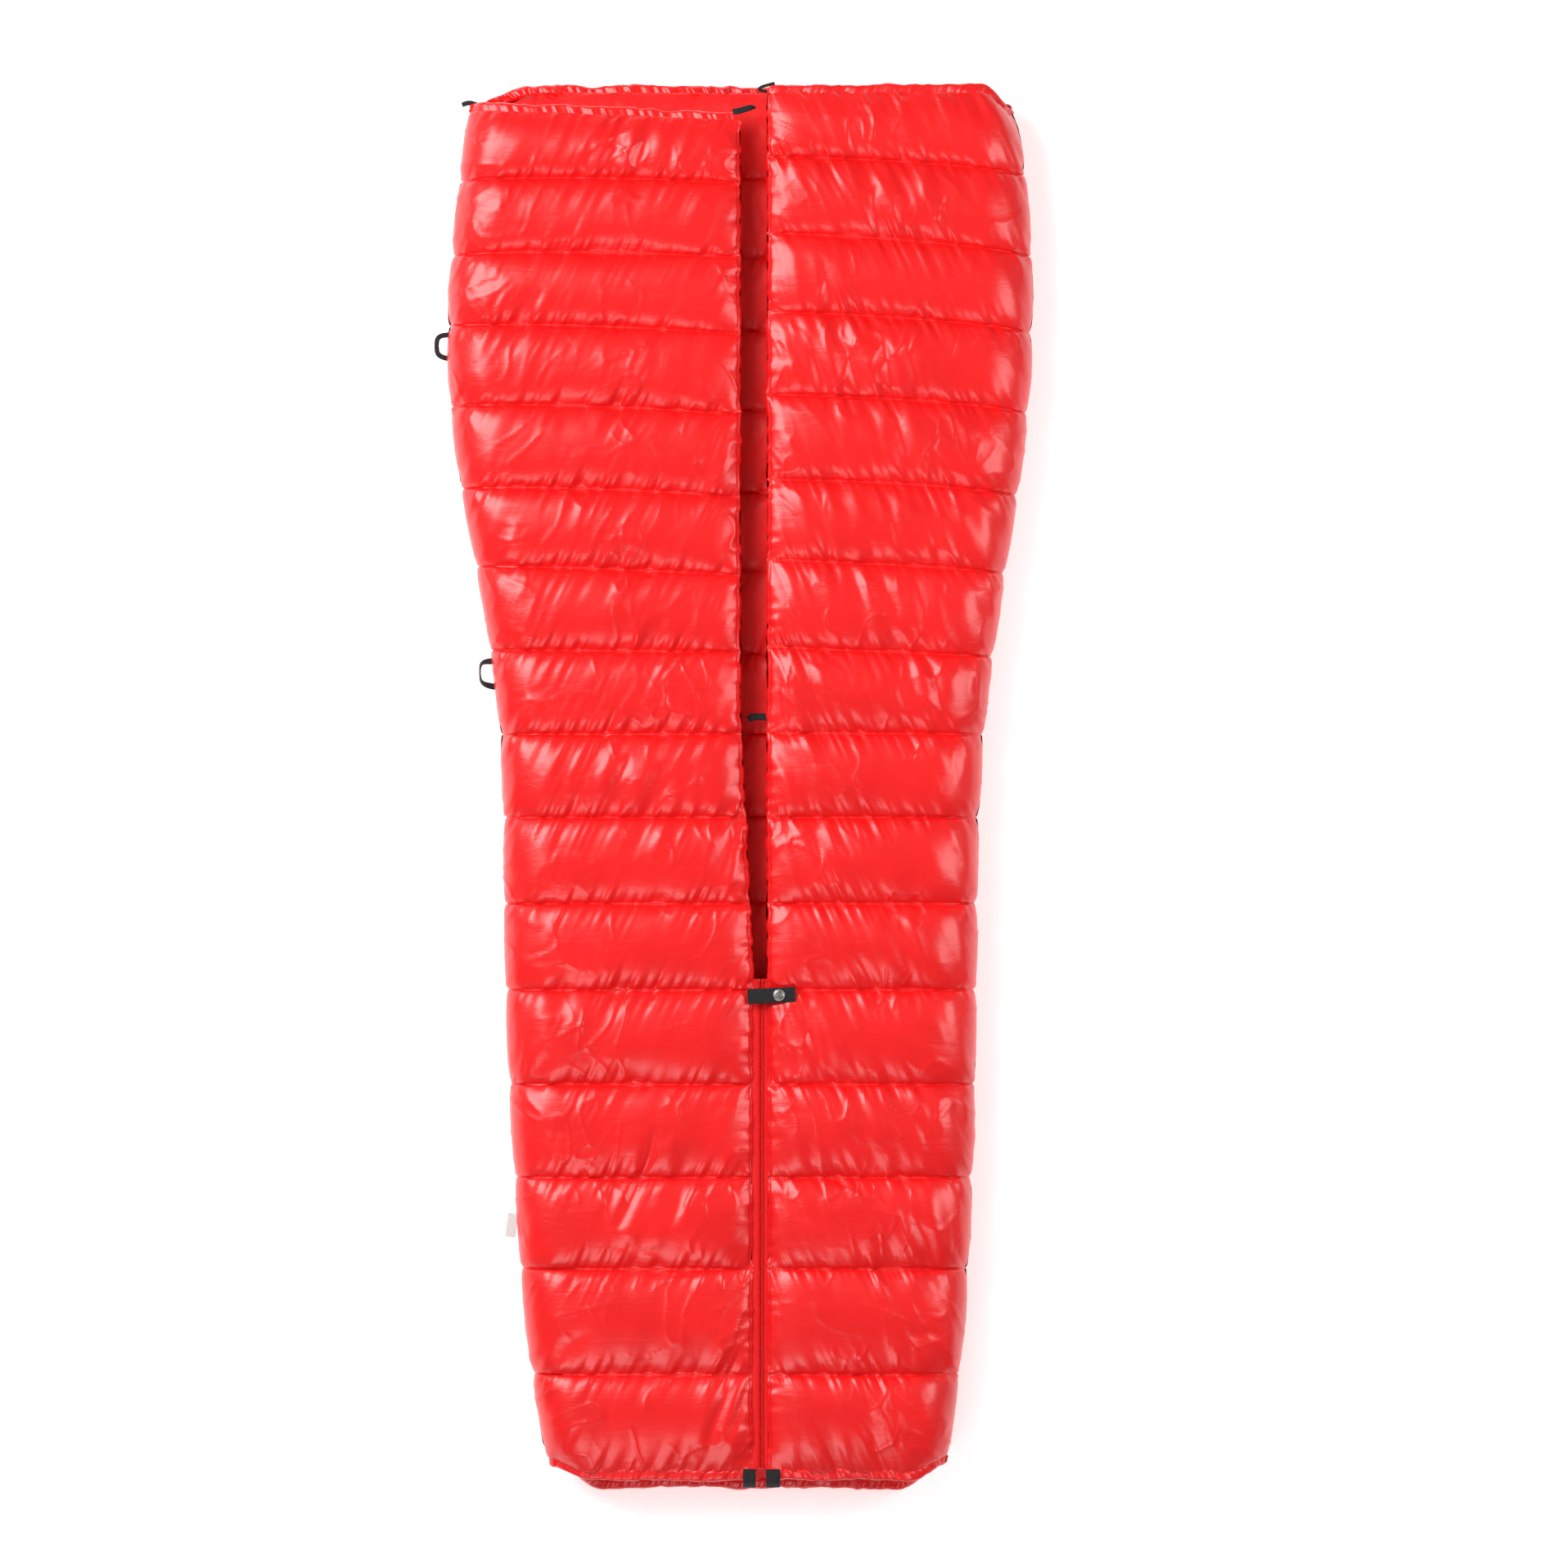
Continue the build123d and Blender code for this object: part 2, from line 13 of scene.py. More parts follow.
import bpy
import numpy as np
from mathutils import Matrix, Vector


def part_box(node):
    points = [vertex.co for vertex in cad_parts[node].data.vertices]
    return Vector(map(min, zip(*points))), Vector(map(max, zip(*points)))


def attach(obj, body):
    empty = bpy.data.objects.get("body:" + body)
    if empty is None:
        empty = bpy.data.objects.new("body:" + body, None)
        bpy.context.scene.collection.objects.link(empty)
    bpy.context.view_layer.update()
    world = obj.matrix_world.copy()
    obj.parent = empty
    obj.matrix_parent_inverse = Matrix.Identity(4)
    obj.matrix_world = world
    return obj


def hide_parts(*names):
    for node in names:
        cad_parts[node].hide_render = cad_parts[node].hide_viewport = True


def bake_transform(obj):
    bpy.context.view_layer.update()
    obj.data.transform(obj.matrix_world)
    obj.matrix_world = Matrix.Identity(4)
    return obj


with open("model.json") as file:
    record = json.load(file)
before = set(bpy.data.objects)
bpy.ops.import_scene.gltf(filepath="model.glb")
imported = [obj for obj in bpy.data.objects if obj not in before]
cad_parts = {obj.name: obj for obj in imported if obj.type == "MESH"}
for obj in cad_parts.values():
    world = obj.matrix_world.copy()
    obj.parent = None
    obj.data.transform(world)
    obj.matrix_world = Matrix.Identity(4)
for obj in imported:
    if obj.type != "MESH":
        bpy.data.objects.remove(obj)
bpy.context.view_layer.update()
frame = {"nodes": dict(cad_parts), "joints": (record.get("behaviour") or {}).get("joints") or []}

# %% [markdown]
# ## The stage
# Camera, floor and lights come first, because every later look depends on them. The
# quilt is seen from straight above through a long lens, which keeps its sides parallel.
# It is a little to the left of the middle of the view. The light is a big soft box over
# the quilt's left shoulder, weaker ones at its right and its foot, and a dim white room.
# Nothing bright hangs straight overhead, so the cloth's flat crowns keep their full
# colour and only its slopes and creases shine.

# %% Camera
VIEW_CENTRE = (0.0693, 0.0039, 0.09)
VIEW_WIDTH = 2.1076
CAMERA_HEIGHT = 12.0
SENSOR = 36.0

bpy.ops.object.select_all(action="DESELECT")
bpy.ops.object.camera_add(location=(VIEW_CENTRE[0], VIEW_CENTRE[1], CAMERA_HEIGHT))
camera = bpy.context.object
camera.name = "camera"
camera.data.sensor_width = SENSOR
camera.data.lens = SENSOR * (CAMERA_HEIGHT - VIEW_CENTRE[2]) / VIEW_WIDTH
camera.data.clip_end = 60
bpy.context.scene.camera = camera
print("lens:", round(camera.data.lens, 1), "mm")

# %% Floor
bpy.ops.mesh.primitive_plane_add(size=14, location=(0, 0, -0.0006))
floor = bpy.context.object
floor.name = "floor"
floor_paper = bpy.data.materials.new("pale_floor")
floor_paper.use_nodes = True
floor_shader = floor_paper.node_tree.nodes["Principled BSDF"]
floor_shader.inputs["Base Color"].default_value = (0.92, 0.92, 0.92, 1)
floor_shader.inputs["Roughness"].default_value = 0.9
floor_shader.inputs["Specular IOR Level"].default_value = 0.1
floor_shader.inputs["Emission Color"].default_value = (1, 1, 1, 1)
floor_shader.inputs["Emission Strength"].default_value = 0.45
floor.data.materials.append(floor_paper)

# %% Lights
def soft_box(name, place, size, watts):
    """A square light that faces the middle of the quilt."""
    bpy.ops.object.light_add(type="AREA", location=place)
    light = bpy.context.object
    light.name = name
    light.data.size = size
    light.data.energy = watts
    light.rotation_euler = (Vector((0, 0, 0.1)) - Vector(place)).to_track_quat("-Z", "Y").to_euler()
    return light


soft_box("key_light", (-2.0, 1.5, 2.6), 2.1, 130)
soft_box("side_light", (2.3, 0.2, 2.2), 1.4, 36)
soft_box("foot_light", (-0.8, -2.6, 2.4), 1.4, 24)

room = bpy.data.worlds.new("pale_room")
room.use_nodes = True
room.node_tree.nodes["Background"].inputs["Color"].default_value = (1, 1, 1, 1)
room.node_tree.nodes["Background"].inputs["Strength"].default_value = 0.22
bpy.context.scene.world = room
bpy.context.scene.view_settings.view_transform = "Standard"

# %% [markdown]
# ## What the frame says about the quilt
# The side folds, the free edges of the fronts and the seams are read from the CAD
# pieces, so the cloth fits them without a list of measured numbers.

# %% Read the outline and the seams
def corners_of(node):
    """Every corner of a CAD piece, in metres."""
    mesh = frame["nodes"][node].data
    flat = np.empty(3 * len(mesh.vertices))
    mesh.vertices.foreach_get("co", flat)
    return flat.reshape(-1, 3)


def side_fold(side):
    """A smooth curve for the x of a side fold, -1 on the left, at any y."""
    wall = corners_of("side_outer_shells")
    wall = wall[wall[:, 0] * side > 0]
    rough = np.polyfit(wall[:, 1], wall[:, 0], 9)
    proud = (wall[:, 0] - np.polyval(rough, wall[:, 1])) * side > 0
    return np.polyfit(wall[proud, 1], wall[proud, 0], 9)


def free_edge(lapel_facing, zip_facing, side):
    """Places (y, x) along a front's free edge."""
    facing = np.vstack([corners_of(lapel_facing), corners_of(zip_facing)])
    stations = np.arange(facing[:, 1].min(), facing[:, 1].max(), 0.02)
    found = []
    for y in stations:
        near = facing[np.abs(facing[:, 1] - y) < 0.012, 0]
        found.append(near.max() if side < 0 else near.min())
    return stations, np.array(found)


LEFT, RIGHT = -1, 1
fold_curve = {LEFT: side_fold(LEFT), RIGHT: side_fold(RIGHT)}
edge_line = {
    LEFT: free_edge("left_lapel_facing", "left_zip_facing", LEFT),
    RIGHT: free_edge("right_lapel_facing", "right_zip_facing", RIGHT),
}
wall_faces = np.unique(np.round(corners_of("back_baffle_walls")[:, 1], 4))
seams = wall_faces.reshape(-1, 2).mean(axis=1)[::-1]
head_of = {
    LEFT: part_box("left_lapel_outer_shell")[1][1],
    RIGHT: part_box("right_lapel_outer_shell")[1][1],
    0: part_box("back_outer_shell")[1][1],
}
front_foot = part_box("lower_left_outer_shell")[0][1]
back_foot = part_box("back_outer_shell")[0][1]
print(len(seams), "seams from", round(seams[0], 3), "to", round(seams[-1], 3))

# %% [markdown]
# ## Where the rows of down lie
# Sewn by hand on soft cloth, the seams aren't quite square to the quilt: on each front
# they slant and bow a little near the head, and lie straight towards the feet. A front
# is laid out by two numbers: how far across it is, from 0 at the side fold to 1 at the
# free edge, and how far down its row.

# %% Smooth steps and slanted seams
def smooth(low, high, value):
    """Rises from 0 to 1 between low and high, without corners."""
    step = np.clip((value - low) / (high - low), 0, 1)
    return step * step * (3 - 2 * step)


def side_slant(side, y):
    """How far a seam is moved along y where it meets the side fold."""
    if side == LEFT:
        return -0.008 * smooth(0.62, 0.72, y)
    return -0.009 * smooth(0.10, 0.20, y) * (1 - smooth(0.73, 0.82, y))


def edge_slant(side, y):
    """How far a seam is moved along y where it meets the free edge."""
    if side == LEFT:
        return -0.013 * smooth(0.14, 0.30, y)
    return 0.023 * np.clip((y - 0.03) / 0.79, 0, 1)


BOW = 0.005
CORNER_DROP = {LEFT: 0.0, RIGHT: 0.026}


def front_stops(side, across):
    """The y of the head, of each seam and of the foot, where across is 0 to 1."""
    head = head_of[side] + (0.011 - 0.014 * across if side == LEFT else 0.003 + 0 * across)
    head = head - CORNER_DROP[side] * (1 - smooth(0, 0.13, across))
    lines = [head]
    for y in seams:
        slant = side_slant(side, y) * (1 - across) + edge_slant(side, y) * across
        bow = BOW * 4 * across * (1 - across) * smooth(0.2, 0.4, y)
        lines.append(y + slant + bow)
    lines.append(front_foot + 0.018 * (1 - smooth(0, 0.16, across)))
    return np.array(lines)


def back_stops(across):
    """The same for the back, where across is 0 at the left fold and 1 at the right."""
    ends = [front_stops(side, np.zeros(1))[:, 0] for side in (LEFT, RIGHT)]
    line = ends[0][:, None] * (1 - across) + ends[1][:, None] * across
    inside = smooth(0, 0.11, across) * smooth(0, 0.09, 1 - across)
    line[0] = line[0] * (1 - inside) + head_of[0] * inside
    line[-1] = line[-1] * (1 - inside) + back_foot * inside
    return line


# %% Steps down each row
STEP = 0.0062
NEAR_SEAM = (0.0, 0.0014, 0.004)


def row_steps():
    """The row and the fraction down it, for each line of cloth points."""
    plain = np.array([head_of[0], *seams, back_foot])
    rows, fractions = [], []
    for row, deep in enumerate(-np.diff(plain)):
        count = int(round((deep - 2 * NEAR_SEAM[-1]) / STEP))
        middle = np.linspace(NEAR_SEAM[-1], deep - NEAR_SEAM[-1], count + 1)[1:-1]
        down = np.concatenate([NEAR_SEAM, middle, deep - np.array(NEAR_SEAM[:0:-1])])
        rows.extend([row] * len(down))
        fractions.extend(down / deep)
    rows.append(len(plain) - 2)
    fractions.append(1.0)
    return np.array(rows), np.array(fractions)


row_of, down_row = row_steps()
is_seam = (down_row == 0) | (down_row == 1)
pillow = (1 - np.abs(2 * down_row - 1) ** 2.4) ** (1 / 2.2)
print(len(row_of), "lines of points from head to foot")


def y_lines(stops):
    """The y of every point, from the y of the stops at its column."""
    above, below = stops[row_of], stops[row_of + 1]
    return above + (below - above) * down_row[:, None]


# %% [markdown]
# ## The cut of a layer of cloth
# Every layer is a grid of points. Seen from the end, a front rises from the side fold in
# a quarter round, runs across, and comes down to its free edge. A seam pulls the cloth
# down and the side fold in. The head and the foot are pulled flatter, because a gathered
# hem closes them.

# %% Heights and lofts
FOLD_Z = 0.054
FOLD_REACH = 0.066
EDGE_REACH = 0.055
NOTCH = 0.0055
OUTER_Z = (0.0905, 0.1065)
EDGE_Z = 0.0885
LINING_Z = (0.0745, 0.063)
LINING_EDGE_Z = 0.081
LINING_INSET = 0.055
END_CLOSES = 0.07


def end_pull():
    """0 along the rows, rising to 1 at the head and the foot."""
    middle_y = np.array([head_of[0], *seams, back_foot])
    y = middle_y[row_of] + (middle_y[row_of + 1] - middle_y[row_of]) * down_row
    from_end = np.minimum(head_of[0] - y, y - back_foot)
    return 1 - np.sqrt(np.clip(1 - (1 - np.clip(from_end / END_CLOSES, 0, 1)) ** 2, 0, 1))


closing = end_pull()


def fold_x(side, y):
    """The x of the side fold, drawn in where a seam meets it."""
    notch = NOTCH * (1 - pillow)
    notch = notch[:, None] if np.ndim(y) == 2 else notch
    return np.polyval(fold_curve[side], y) - side * (notch - 0.001)


def edge_x(side, y):
    return np.interp(y, *edge_line[side])


# %% Columns across a front
FOLD_COLUMNS = 15
FLAT_COLUMNS = 64
EDGE_STEPS = (0.0105, 0.0075, 0.005, 0.0035, 0.0018, 0.0)


def front_columns(wide, reach, flat_columns):
    """Distances from the side fold for every column, and how far each has risen."""
    turn = np.linspace(0, math.pi / 2, FOLD_COLUMNS)
    rising = reach[:, None] * (1 - np.cos(turn))[None, :]
    run = np.linspace(0, 1, flat_columns + 2)[1:-1]
    last = wide - EDGE_STEPS[0]
    flat = reach[:, None] + (last - reach)[:, None] * run[None, :]
    edge = wide[:, None] - np.array(EDGE_STEPS)[None, :]
    risen = np.concatenate([np.sin(turn), np.ones(len(run) + len(EDGE_STEPS))])
    return np.hstack([rising, flat, edge]), np.tile(risen, (len(wide), 1))


def front_layer(side, heights, edge_z, end_z, inset, flat_columns, edge_reach):
    """Points of one layer of a front, and how far each is from the free edge."""
    guess = y_lines(front_stops(side, np.array([0.0, 1.0])))
    fold = fold_x(side, guess[:, 0]) - side * inset
    edge = edge_x(side, guess[:, 1])
    wide = np.abs(edge - fold)
    reach = np.full(len(wide), FOLD_REACH) * (1 - 0.35 * (inset > 0.02))
    away, risen = front_columns(wide, reach, flat_columns)
    across = away / wide[:, None]
    y = y_lines(front_stops(side, across.mean(axis=0)))
    seam_z, crown_z = heights
    top = seam_z + (crown_z - seam_z) * pillow
    top = top * (1 - closing) + end_z * closing
    from_edge = wide[:, None] - away
    fall = 1 - np.sqrt(np.clip(1 - (1 - np.clip(from_edge / edge_reach, 0, 1)) ** 2, 0, 1))
    z = FOLD_Z + (top[:, None] - FOLD_Z) * risen
    z = z + (edge_z - top[:, None]) * fall
    x = fold[:, None] - side * away
    return np.stack([x, y, z], axis=-1), from_edge


# %% [markdown]
# ## Random hills
# Creases and gathers need numbers that look random but are the same in every run. The
# usual way is a small table of seeded random heights, with smooth hills drawn between
# them.

# %% Smooth random hills
def hills(a, b, seed):
    """Random heights from -1 to 1, about one hill in each unit of a and b."""
    table = np.random.default_rng(seed).uniform(-1, 1, (128, 128))
    a, b = np.broadcast_arrays(a, b)
    left, low = np.floor(a).astype(int), np.floor(b).astype(int)
    across, up = a - left, b - low
    across = across * across * (3 - 2 * across)
    up = up * up * (3 - 2 * up)
    left, low = left % 128, low % 128
    right, high = (left + 1) % 128, (low + 1) % 128
    bottom = table[left, low] * (1 - across) + table[right, low] * across
    top = table[left, high] * (1 - across) + table[right, high] * across
    return bottom * (1 - up) + top * up


def slanted_folds(x, y, lean, wide, long, seed):
    """Hills stretched along a slanting line, wide across it and long along it."""
    along = x * math.cos(lean) + y * math.sin(lean)
    aside = y * math.cos(lean) - x * math.sin(lean)
    drift = 0.5 * wide * hills(x / 0.05, y / 0.05, seed)
    return hills((aside + drift) / wide + 300, along / long + 300, seed + 1)


# %% [markdown]
# ## Cloth filled with down
# A row of down is a pillow: the cloth is held along its seams and pushed out between
# them. That is what a cloth simulation does. The cloth is cut larger than the space it
# closes, and a little skewed, so it can't lie smooth: it swells and falls into slanting
# folds. It starts slightly crumpled, so that the folds have somewhere to begin. Air
# pressure stands in for the down, gravity is off, and how far any point may move is
# capped. The rows are laid out as pillows first, so the simulation only has to soften
# them: it moves the cloth about a millimetre, and the panel keeps its CAD size.

# %% Grid pieces
def read_points(piece):
    """The places of all the points of a piece or a mesh, one row each."""
    mesh = piece.data if hasattr(piece, "data") else piece
    flat = np.empty(3 * len(mesh.vertices))
    mesh.vertices.foreach_get("co", flat)
    return flat.reshape(-1, 3)


def write_points(piece, points):
    """Moves the points of a piece to new places."""
    piece.data.vertices.foreach_set("co", np.ascontiguousarray(points, float).ravel())
    piece.data.update()


def grid_piece(name, points, faces_up=True):
    """A sheet of cloth: a grid primitive with its points moved into place."""
    rows, columns = points.shape[:2]
    bpy.ops.object.select_all(action="DESELECT")
    bpy.ops.mesh.primitive_grid_add(x_subdivisions=columns - 1, y_subdivisions=rows - 1, size=1)
    piece = bpy.context.object
    piece.name = piece.data.name = name
    write_points(piece, points.reshape(-1, 3))
    mesh = piece.data
    normals = np.empty(3 * len(mesh.polygons))
    mesh.polygons.foreach_get("normal", normals)
    if (normals[2::3].mean() > 0) != faces_up:
        mesh.flip_normals()
    lengths = np.linalg.norm(np.diff(points, axis=1), axis=2)
    over = np.concatenate([np.zeros((rows, 1)), np.cumsum(lengths, axis=1)], axis=1)
    over = over - over[:, columns // 2][:, None]
    cloth_map = np.stack([over, points[..., 1]], axis=-1).reshape(-1, 2)
    corner = np.empty(len(mesh.loops), int)
    mesh.loops.foreach_get("vertex_index", corner)
    mesh.uv_layers.active.data.foreach_set("uv", cloth_map[corner].ravel())
    return piece


def note(piece, name, values):
    """Keeps a number with every point, so that later steps can read it."""
    attribute = piece.data.attributes.new(name, "FLOAT", "POINT")
    attribute.data.foreach_set("value", np.ascontiguousarray(values, np.float32).ravel())


def noted(piece, name):
    """Reads back what note kept."""
    values = np.empty(len(piece.data.vertices), np.float32)
    piece.data.attributes[name].data.foreach_get("value", values)
    return values.astype(float)


# %% The simulation
FRAMES = 20
MOST_MOVE = 0.015
AIR_PRESSURE = 3.2
CUT_WIDER, CUT_LONGER, CUT_SLANT = 1.06, 1.11, 0.07


def fill_with_down(piece, points, held, lean):
    """Pushes the cloth out between its held points, and keeps the shape it takes."""
    group = piece.vertex_groups.new(name="held")
    group.add(np.flatnonzero(held).tolist(), 1.0, "REPLACE")
    piece.shape_key_add(name="start")
    cut = piece.shape_key_add(name="cut")
    steps = np.linalg.norm(np.diff(points, axis=1), axis=2)
    over = np.concatenate([np.zeros((len(points), 1)), np.cumsum(steps, axis=1)], axis=1)
    flat = np.zeros_like(points)
    flat[..., 0] = over * CUT_WIDER + lean * CUT_SLANT * points[..., 1]
    flat[..., 1] = points[..., 1] * CUT_LONGER
    cut.data.foreach_set("co", flat.ravel())
    cloth = piece.modifiers.new("Cloth", "CLOTH")
    cloth.settings.quality = 5
    cloth.settings.mass = 0.15
    cloth.settings.tension_stiffness = 15
    cloth.settings.compression_stiffness = 15
    cloth.settings.shear_stiffness = 5
    cloth.settings.bending_stiffness = 0.02
    cloth.settings.air_damping = 1
    cloth.settings.vertex_group_mass = "held"
    cloth.settings.use_pressure = True
    cloth.settings.uniform_pressure_force = AIR_PRESSURE
    cloth.settings.rest_shape_key = cut
    cloth.settings.effector_weights.gravity = 0
    cloth.collision_settings.use_collision = False
    cloth.collision_settings.use_self_collision = False
    scene = bpy.context.scene
    scene.frame_start, scene.frame_end = 1, FRAMES
    cloth.point_cache.frame_start, cloth.point_cache.frame_end = 1, FRAMES
    for step in range(1, FRAMES + 1):
        scene.frame_set(step)
    shown = piece.evaluated_get(bpy.context.evaluated_depsgraph_get())
    moved = read_points(shown) - points.reshape(-1, 3)
    far = np.linalg.norm(moved, axis=1)
    moved *= (np.minimum(far, MOST_MOVE) / np.maximum(far, 1e-9))[:, None]
    piece.modifiers.remove(cloth)
    piece.shape_key_clear()
    scene.frame_set(1)
    write_points(piece, points.reshape(-1, 3) + moved)
    print(piece.name, "moved by", round(1000 * far.mean(), 1), "mm on average,",
          round(1000 * far.max(), 1), "at most")


def subdivide(piece):
    bpy.ops.object.select_all(action="DESELECT")
    piece.select_set(True)
    bpy.context.view_layer.objects.active = piece
    finer = piece.modifiers.new("finer", "SUBSURF")
    finer.levels = finer.render_levels = 1
    bpy.ops.object.modifier_apply(modifier=finer.name)
    bpy.ops.object.shade_smooth()


# %% [markdown]
# ## Gathers and creases
# The thread of a seam draws the thin cloth together, so short gathers run out from both
# sides of it, a centimetre or so apart, and fade within the row. Long slanting creases
# cross the rows in patches. Both are too fine for the simulation, so they are pressed
# into the subdivided cloth along its normals. The seam itself stays put.

# %% Press the creases in
GATHER_PITCH = 0.0095
GATHER_REACH = 0.012
GATHER_HIGH = 0.0019
CREASE_HIGH = 0.0011
CRINKLE_HIGH = 0.0014


def press_creases(piece, lean, seed, strength=1.0, near_edge=1.0):
    """Gathers at the seams and along the free edge, and slanting creases between."""
    mesh = piece.data
    points = read_points(piece)
    normal = np.empty(3 * len(mesh.vertices))
    mesh.vertices.foreach_get("normal", normal)
    normal = normal.reshape(-1, 3)
    x, y = points[:, 0], points[:, 1]
    from_seam, seam = noted(piece, "from_seam"), noted(piece, "seam_number")
    from_edge = noted(piece, "from_edge")
    slanted = x + 0.45 * lean * from_seam * np.sign(noted(piece, "below_seam"))
    which = np.round(seam) * 7.0
    gather = hills(slanted / GATHER_PITCH, which, seed)
    gather += 0.6 * hills(slanted / (0.55 * GATHER_PITCH), which + 3, seed + 1)
    reach = GATHER_REACH * (1.15 + 0.85 * hills(x / 0.04, which, seed + 2))
    fade = (1 - np.exp(-from_seam / 0.0022)) * np.exp(-from_seam / reach)
    raised = GATHER_HIGH * gather * fade * 1.5
    slope = math.radians(58) * lean
    patch = smooth(-0.1, 0.6, hills(x / 0.10 + 9, y / 0.08, seed + 3))
    fold = slanted_folds(x, y, slope, 0.019, 0.12, seed + 4)
    crease = (1 - np.abs(fold)) ** 5
    fine = slanted_folds(x, y, slope * 1.15, 0.010, 0.06, seed + 8)
    crease += 0.35 * (1 - np.abs(fine)) ** 5
    held = 1 - np.exp(-from_seam / 0.006)
    raised += CREASE_HIGH * crease * patch * held
    for number, turned in enumerate((0.35, -0.55, 1.0)):
        sharp = slanted_folds(x, y, slope + turned * lean, 0.024, 0.055, seed + 30 + 3 * number)
        where = smooth(0.15, 0.6, hills(x / 0.07 + 20 * number, y / 0.055, seed + 31 + 3 * number))
        raised += CRINKLE_HIGH * (1 - np.abs(sharp)) ** 9 * where * held
    edge_gather = hills(y / 0.008, np.full_like(y, 5.0), seed + 6)
    raised += near_edge * 0.0016 * edge_gather * np.exp(-np.maximum(from_edge - 0.004, 0) / 0.009)
    stitch_line = np.exp(-((from_edge - 0.0035) / 0.0011) ** 2)
    raised -= near_edge * 0.0008 * stitch_line
    pressed = points + normal * (strength * raised)[:, None]
    pressed[:, 2] = np.maximum(pressed[:, 2], 0.0002)
    write_points(piece, pressed)


# %% [markdown]
# ## Glossy downproof nylon
# The shell is a very fine, calendered nylon: hot rollers press the yarns flat, which
# closes the cloth against down and makes it shine. It is one strong colour with a tight
# plain weave, and under its shine are small crinkles. The weave follows the cloth's own
# map, which is laid out in metres, so the threads turn with the folds.

# %% Material helpers
def new_finish(name):
    finish = bpy.data.materials.new(name)
    finish.use_nodes = True
    return finish, finish.node_tree.nodes, finish.node_tree.links


def add_node(nodes, kind, place, **inputs):
    node = nodes.new(kind)
    node.location = place
    for name, value in inputs.items():
        node.inputs[name.replace("_", " ")].default_value = value
    return node


def two_colours(nodes, links, source, low, high, start=0.3, stop=0.7):
    """A ramp from one colour to another, driven by a texture's output."""
    ramp = nodes.new("ShaderNodeValToRGB")
    ramp.color_ramp.elements[0].position = start
    ramp.color_ramp.elements[0].color = (*low, 1)
    ramp.color_ramp.elements[1].position = stop
    ramp.color_ramp.elements[1].color = (*high, 1)
    links.new(source, ramp.inputs["Fac"])
    return ramp.outputs["Color"]


def bump_chain(nodes, links, shader, layers):
    """Stacks bumps: each layer is (texture output, height in metres, strength)."""
    normal = None
    for source, height, strength in layers:
        bump = add_node(nodes, "ShaderNodeBump", (-250, -300), Distance=height, Strength=strength)
        links.new(source, bump.inputs["Height"])
        if normal:
            links.new(normal, bump.inputs["Normal"])
        normal = bump.outputs["Normal"]
    links.new(normal, shader.inputs["Normal"])


# %% Nylon
def nylon(name, dark, light, roughness, coat, lean):
    """Calendered nylon taffeta; lean is which way its small creases slant."""
    finish, nodes, links = new_finish(name)
    shader = nodes["Principled BSDF"]
    shader.inputs["Roughness"].default_value = roughness
    shader.inputs["Specular IOR Level"].default_value = 0.42
    shader.inputs["Coat Weight"].default_value = coat
    shader.inputs["Coat Roughness"].default_value = 0.24
    shader.inputs["Sheen Weight"].default_value = 0.05
    shader.inputs["Sheen Roughness"].default_value = 0.4
    where = add_node(nodes, "ShaderNodeTexCoord", (-1300, 0))
    dye = add_node(nodes, "ShaderNodeTexNoise", (-800, 300), Scale=14.0, Detail=4.0)
    links.new(where.outputs["Object"], dye.inputs["Vector"])
    links.new(two_colours(nodes, links, dye.outputs["Fac"], dark, light), shader.inputs["Base Color"])
    turned = add_node(nodes, "ShaderNodeMapping", (-1050, -200))
    turned.inputs["Rotation"].default_value = (0, 0, -math.radians(58) * lean)
    turned.inputs["Scale"].default_value = (18, 95, 95)
    links.new(where.outputs["Object"], turned.inputs["Vector"])
    crinkle = add_node(nodes, "ShaderNodeTexNoise", (-800, -200), Scale=1.0, Detail=3.0, Distortion=0.4)
    links.new(turned.outputs["Vector"], crinkle.inputs["Vector"])
    ridge = add_node(nodes, "ShaderNodeMath", (-600, -200))
    ridge.operation = "PINGPONG"
    ridge.inputs[1].default_value = 0.5
    links.new(crinkle.outputs["Fac"], ridge.inputs[0])
    soft = add_node(nodes, "ShaderNodeTexNoise", (-800, -450), Scale=55.0, Detail=2.0)
    links.new(where.outputs["Object"], soft.inputs["Vector"])
    warp = add_node(nodes, "ShaderNodeTexWave", (-800, -700), Scale=420.0)
    weft = add_node(nodes, "ShaderNodeTexWave", (-800, -950), Scale=420.0)
    warp.bands_direction, weft.bands_direction = "X", "Y"
    links.new(where.outputs["UV"], warp.inputs["Vector"])
    links.new(where.outputs["UV"], weft.inputs["Vector"])
    weave = add_node(nodes, "ShaderNodeMath", (-600, -800))
    weave.operation = "MULTIPLY"
    links.new(warp.outputs["Fac"], weave.inputs[0])
    links.new(weft.outputs["Fac"], weave.inputs[1])
    bump_chain(nodes, links, shader, [
        (soft.outputs["Fac"], 0.0005, 0.4),
        (ridge.outputs["Value"], 0.0022, 0.4),
        (weave.outputs["Value"], 0.00006, 0.25),
    ])
    return finish


shell_left = nylon("shell_nylon_left", (0.78, 0.003, 0.004), (0.90, 0.006, 0.007), 0.37, 0.38, 1)
shell_right = nylon("shell_nylon_right", (0.78, 0.003, 0.004), (0.90, 0.006, 0.007), 0.37, 0.38, -1)
# The lining's red is painted a little lighter than the shell's: painted light, which lifts the cloth
# that lies in shade in the slit between the fronts.
lining_nylon_painted_lighter = nylon("lining_nylon_painted_lighter", (0.82, 0.003, 0.004), (0.93, 0.005, 0.006), 0.5, 0.1, 1)
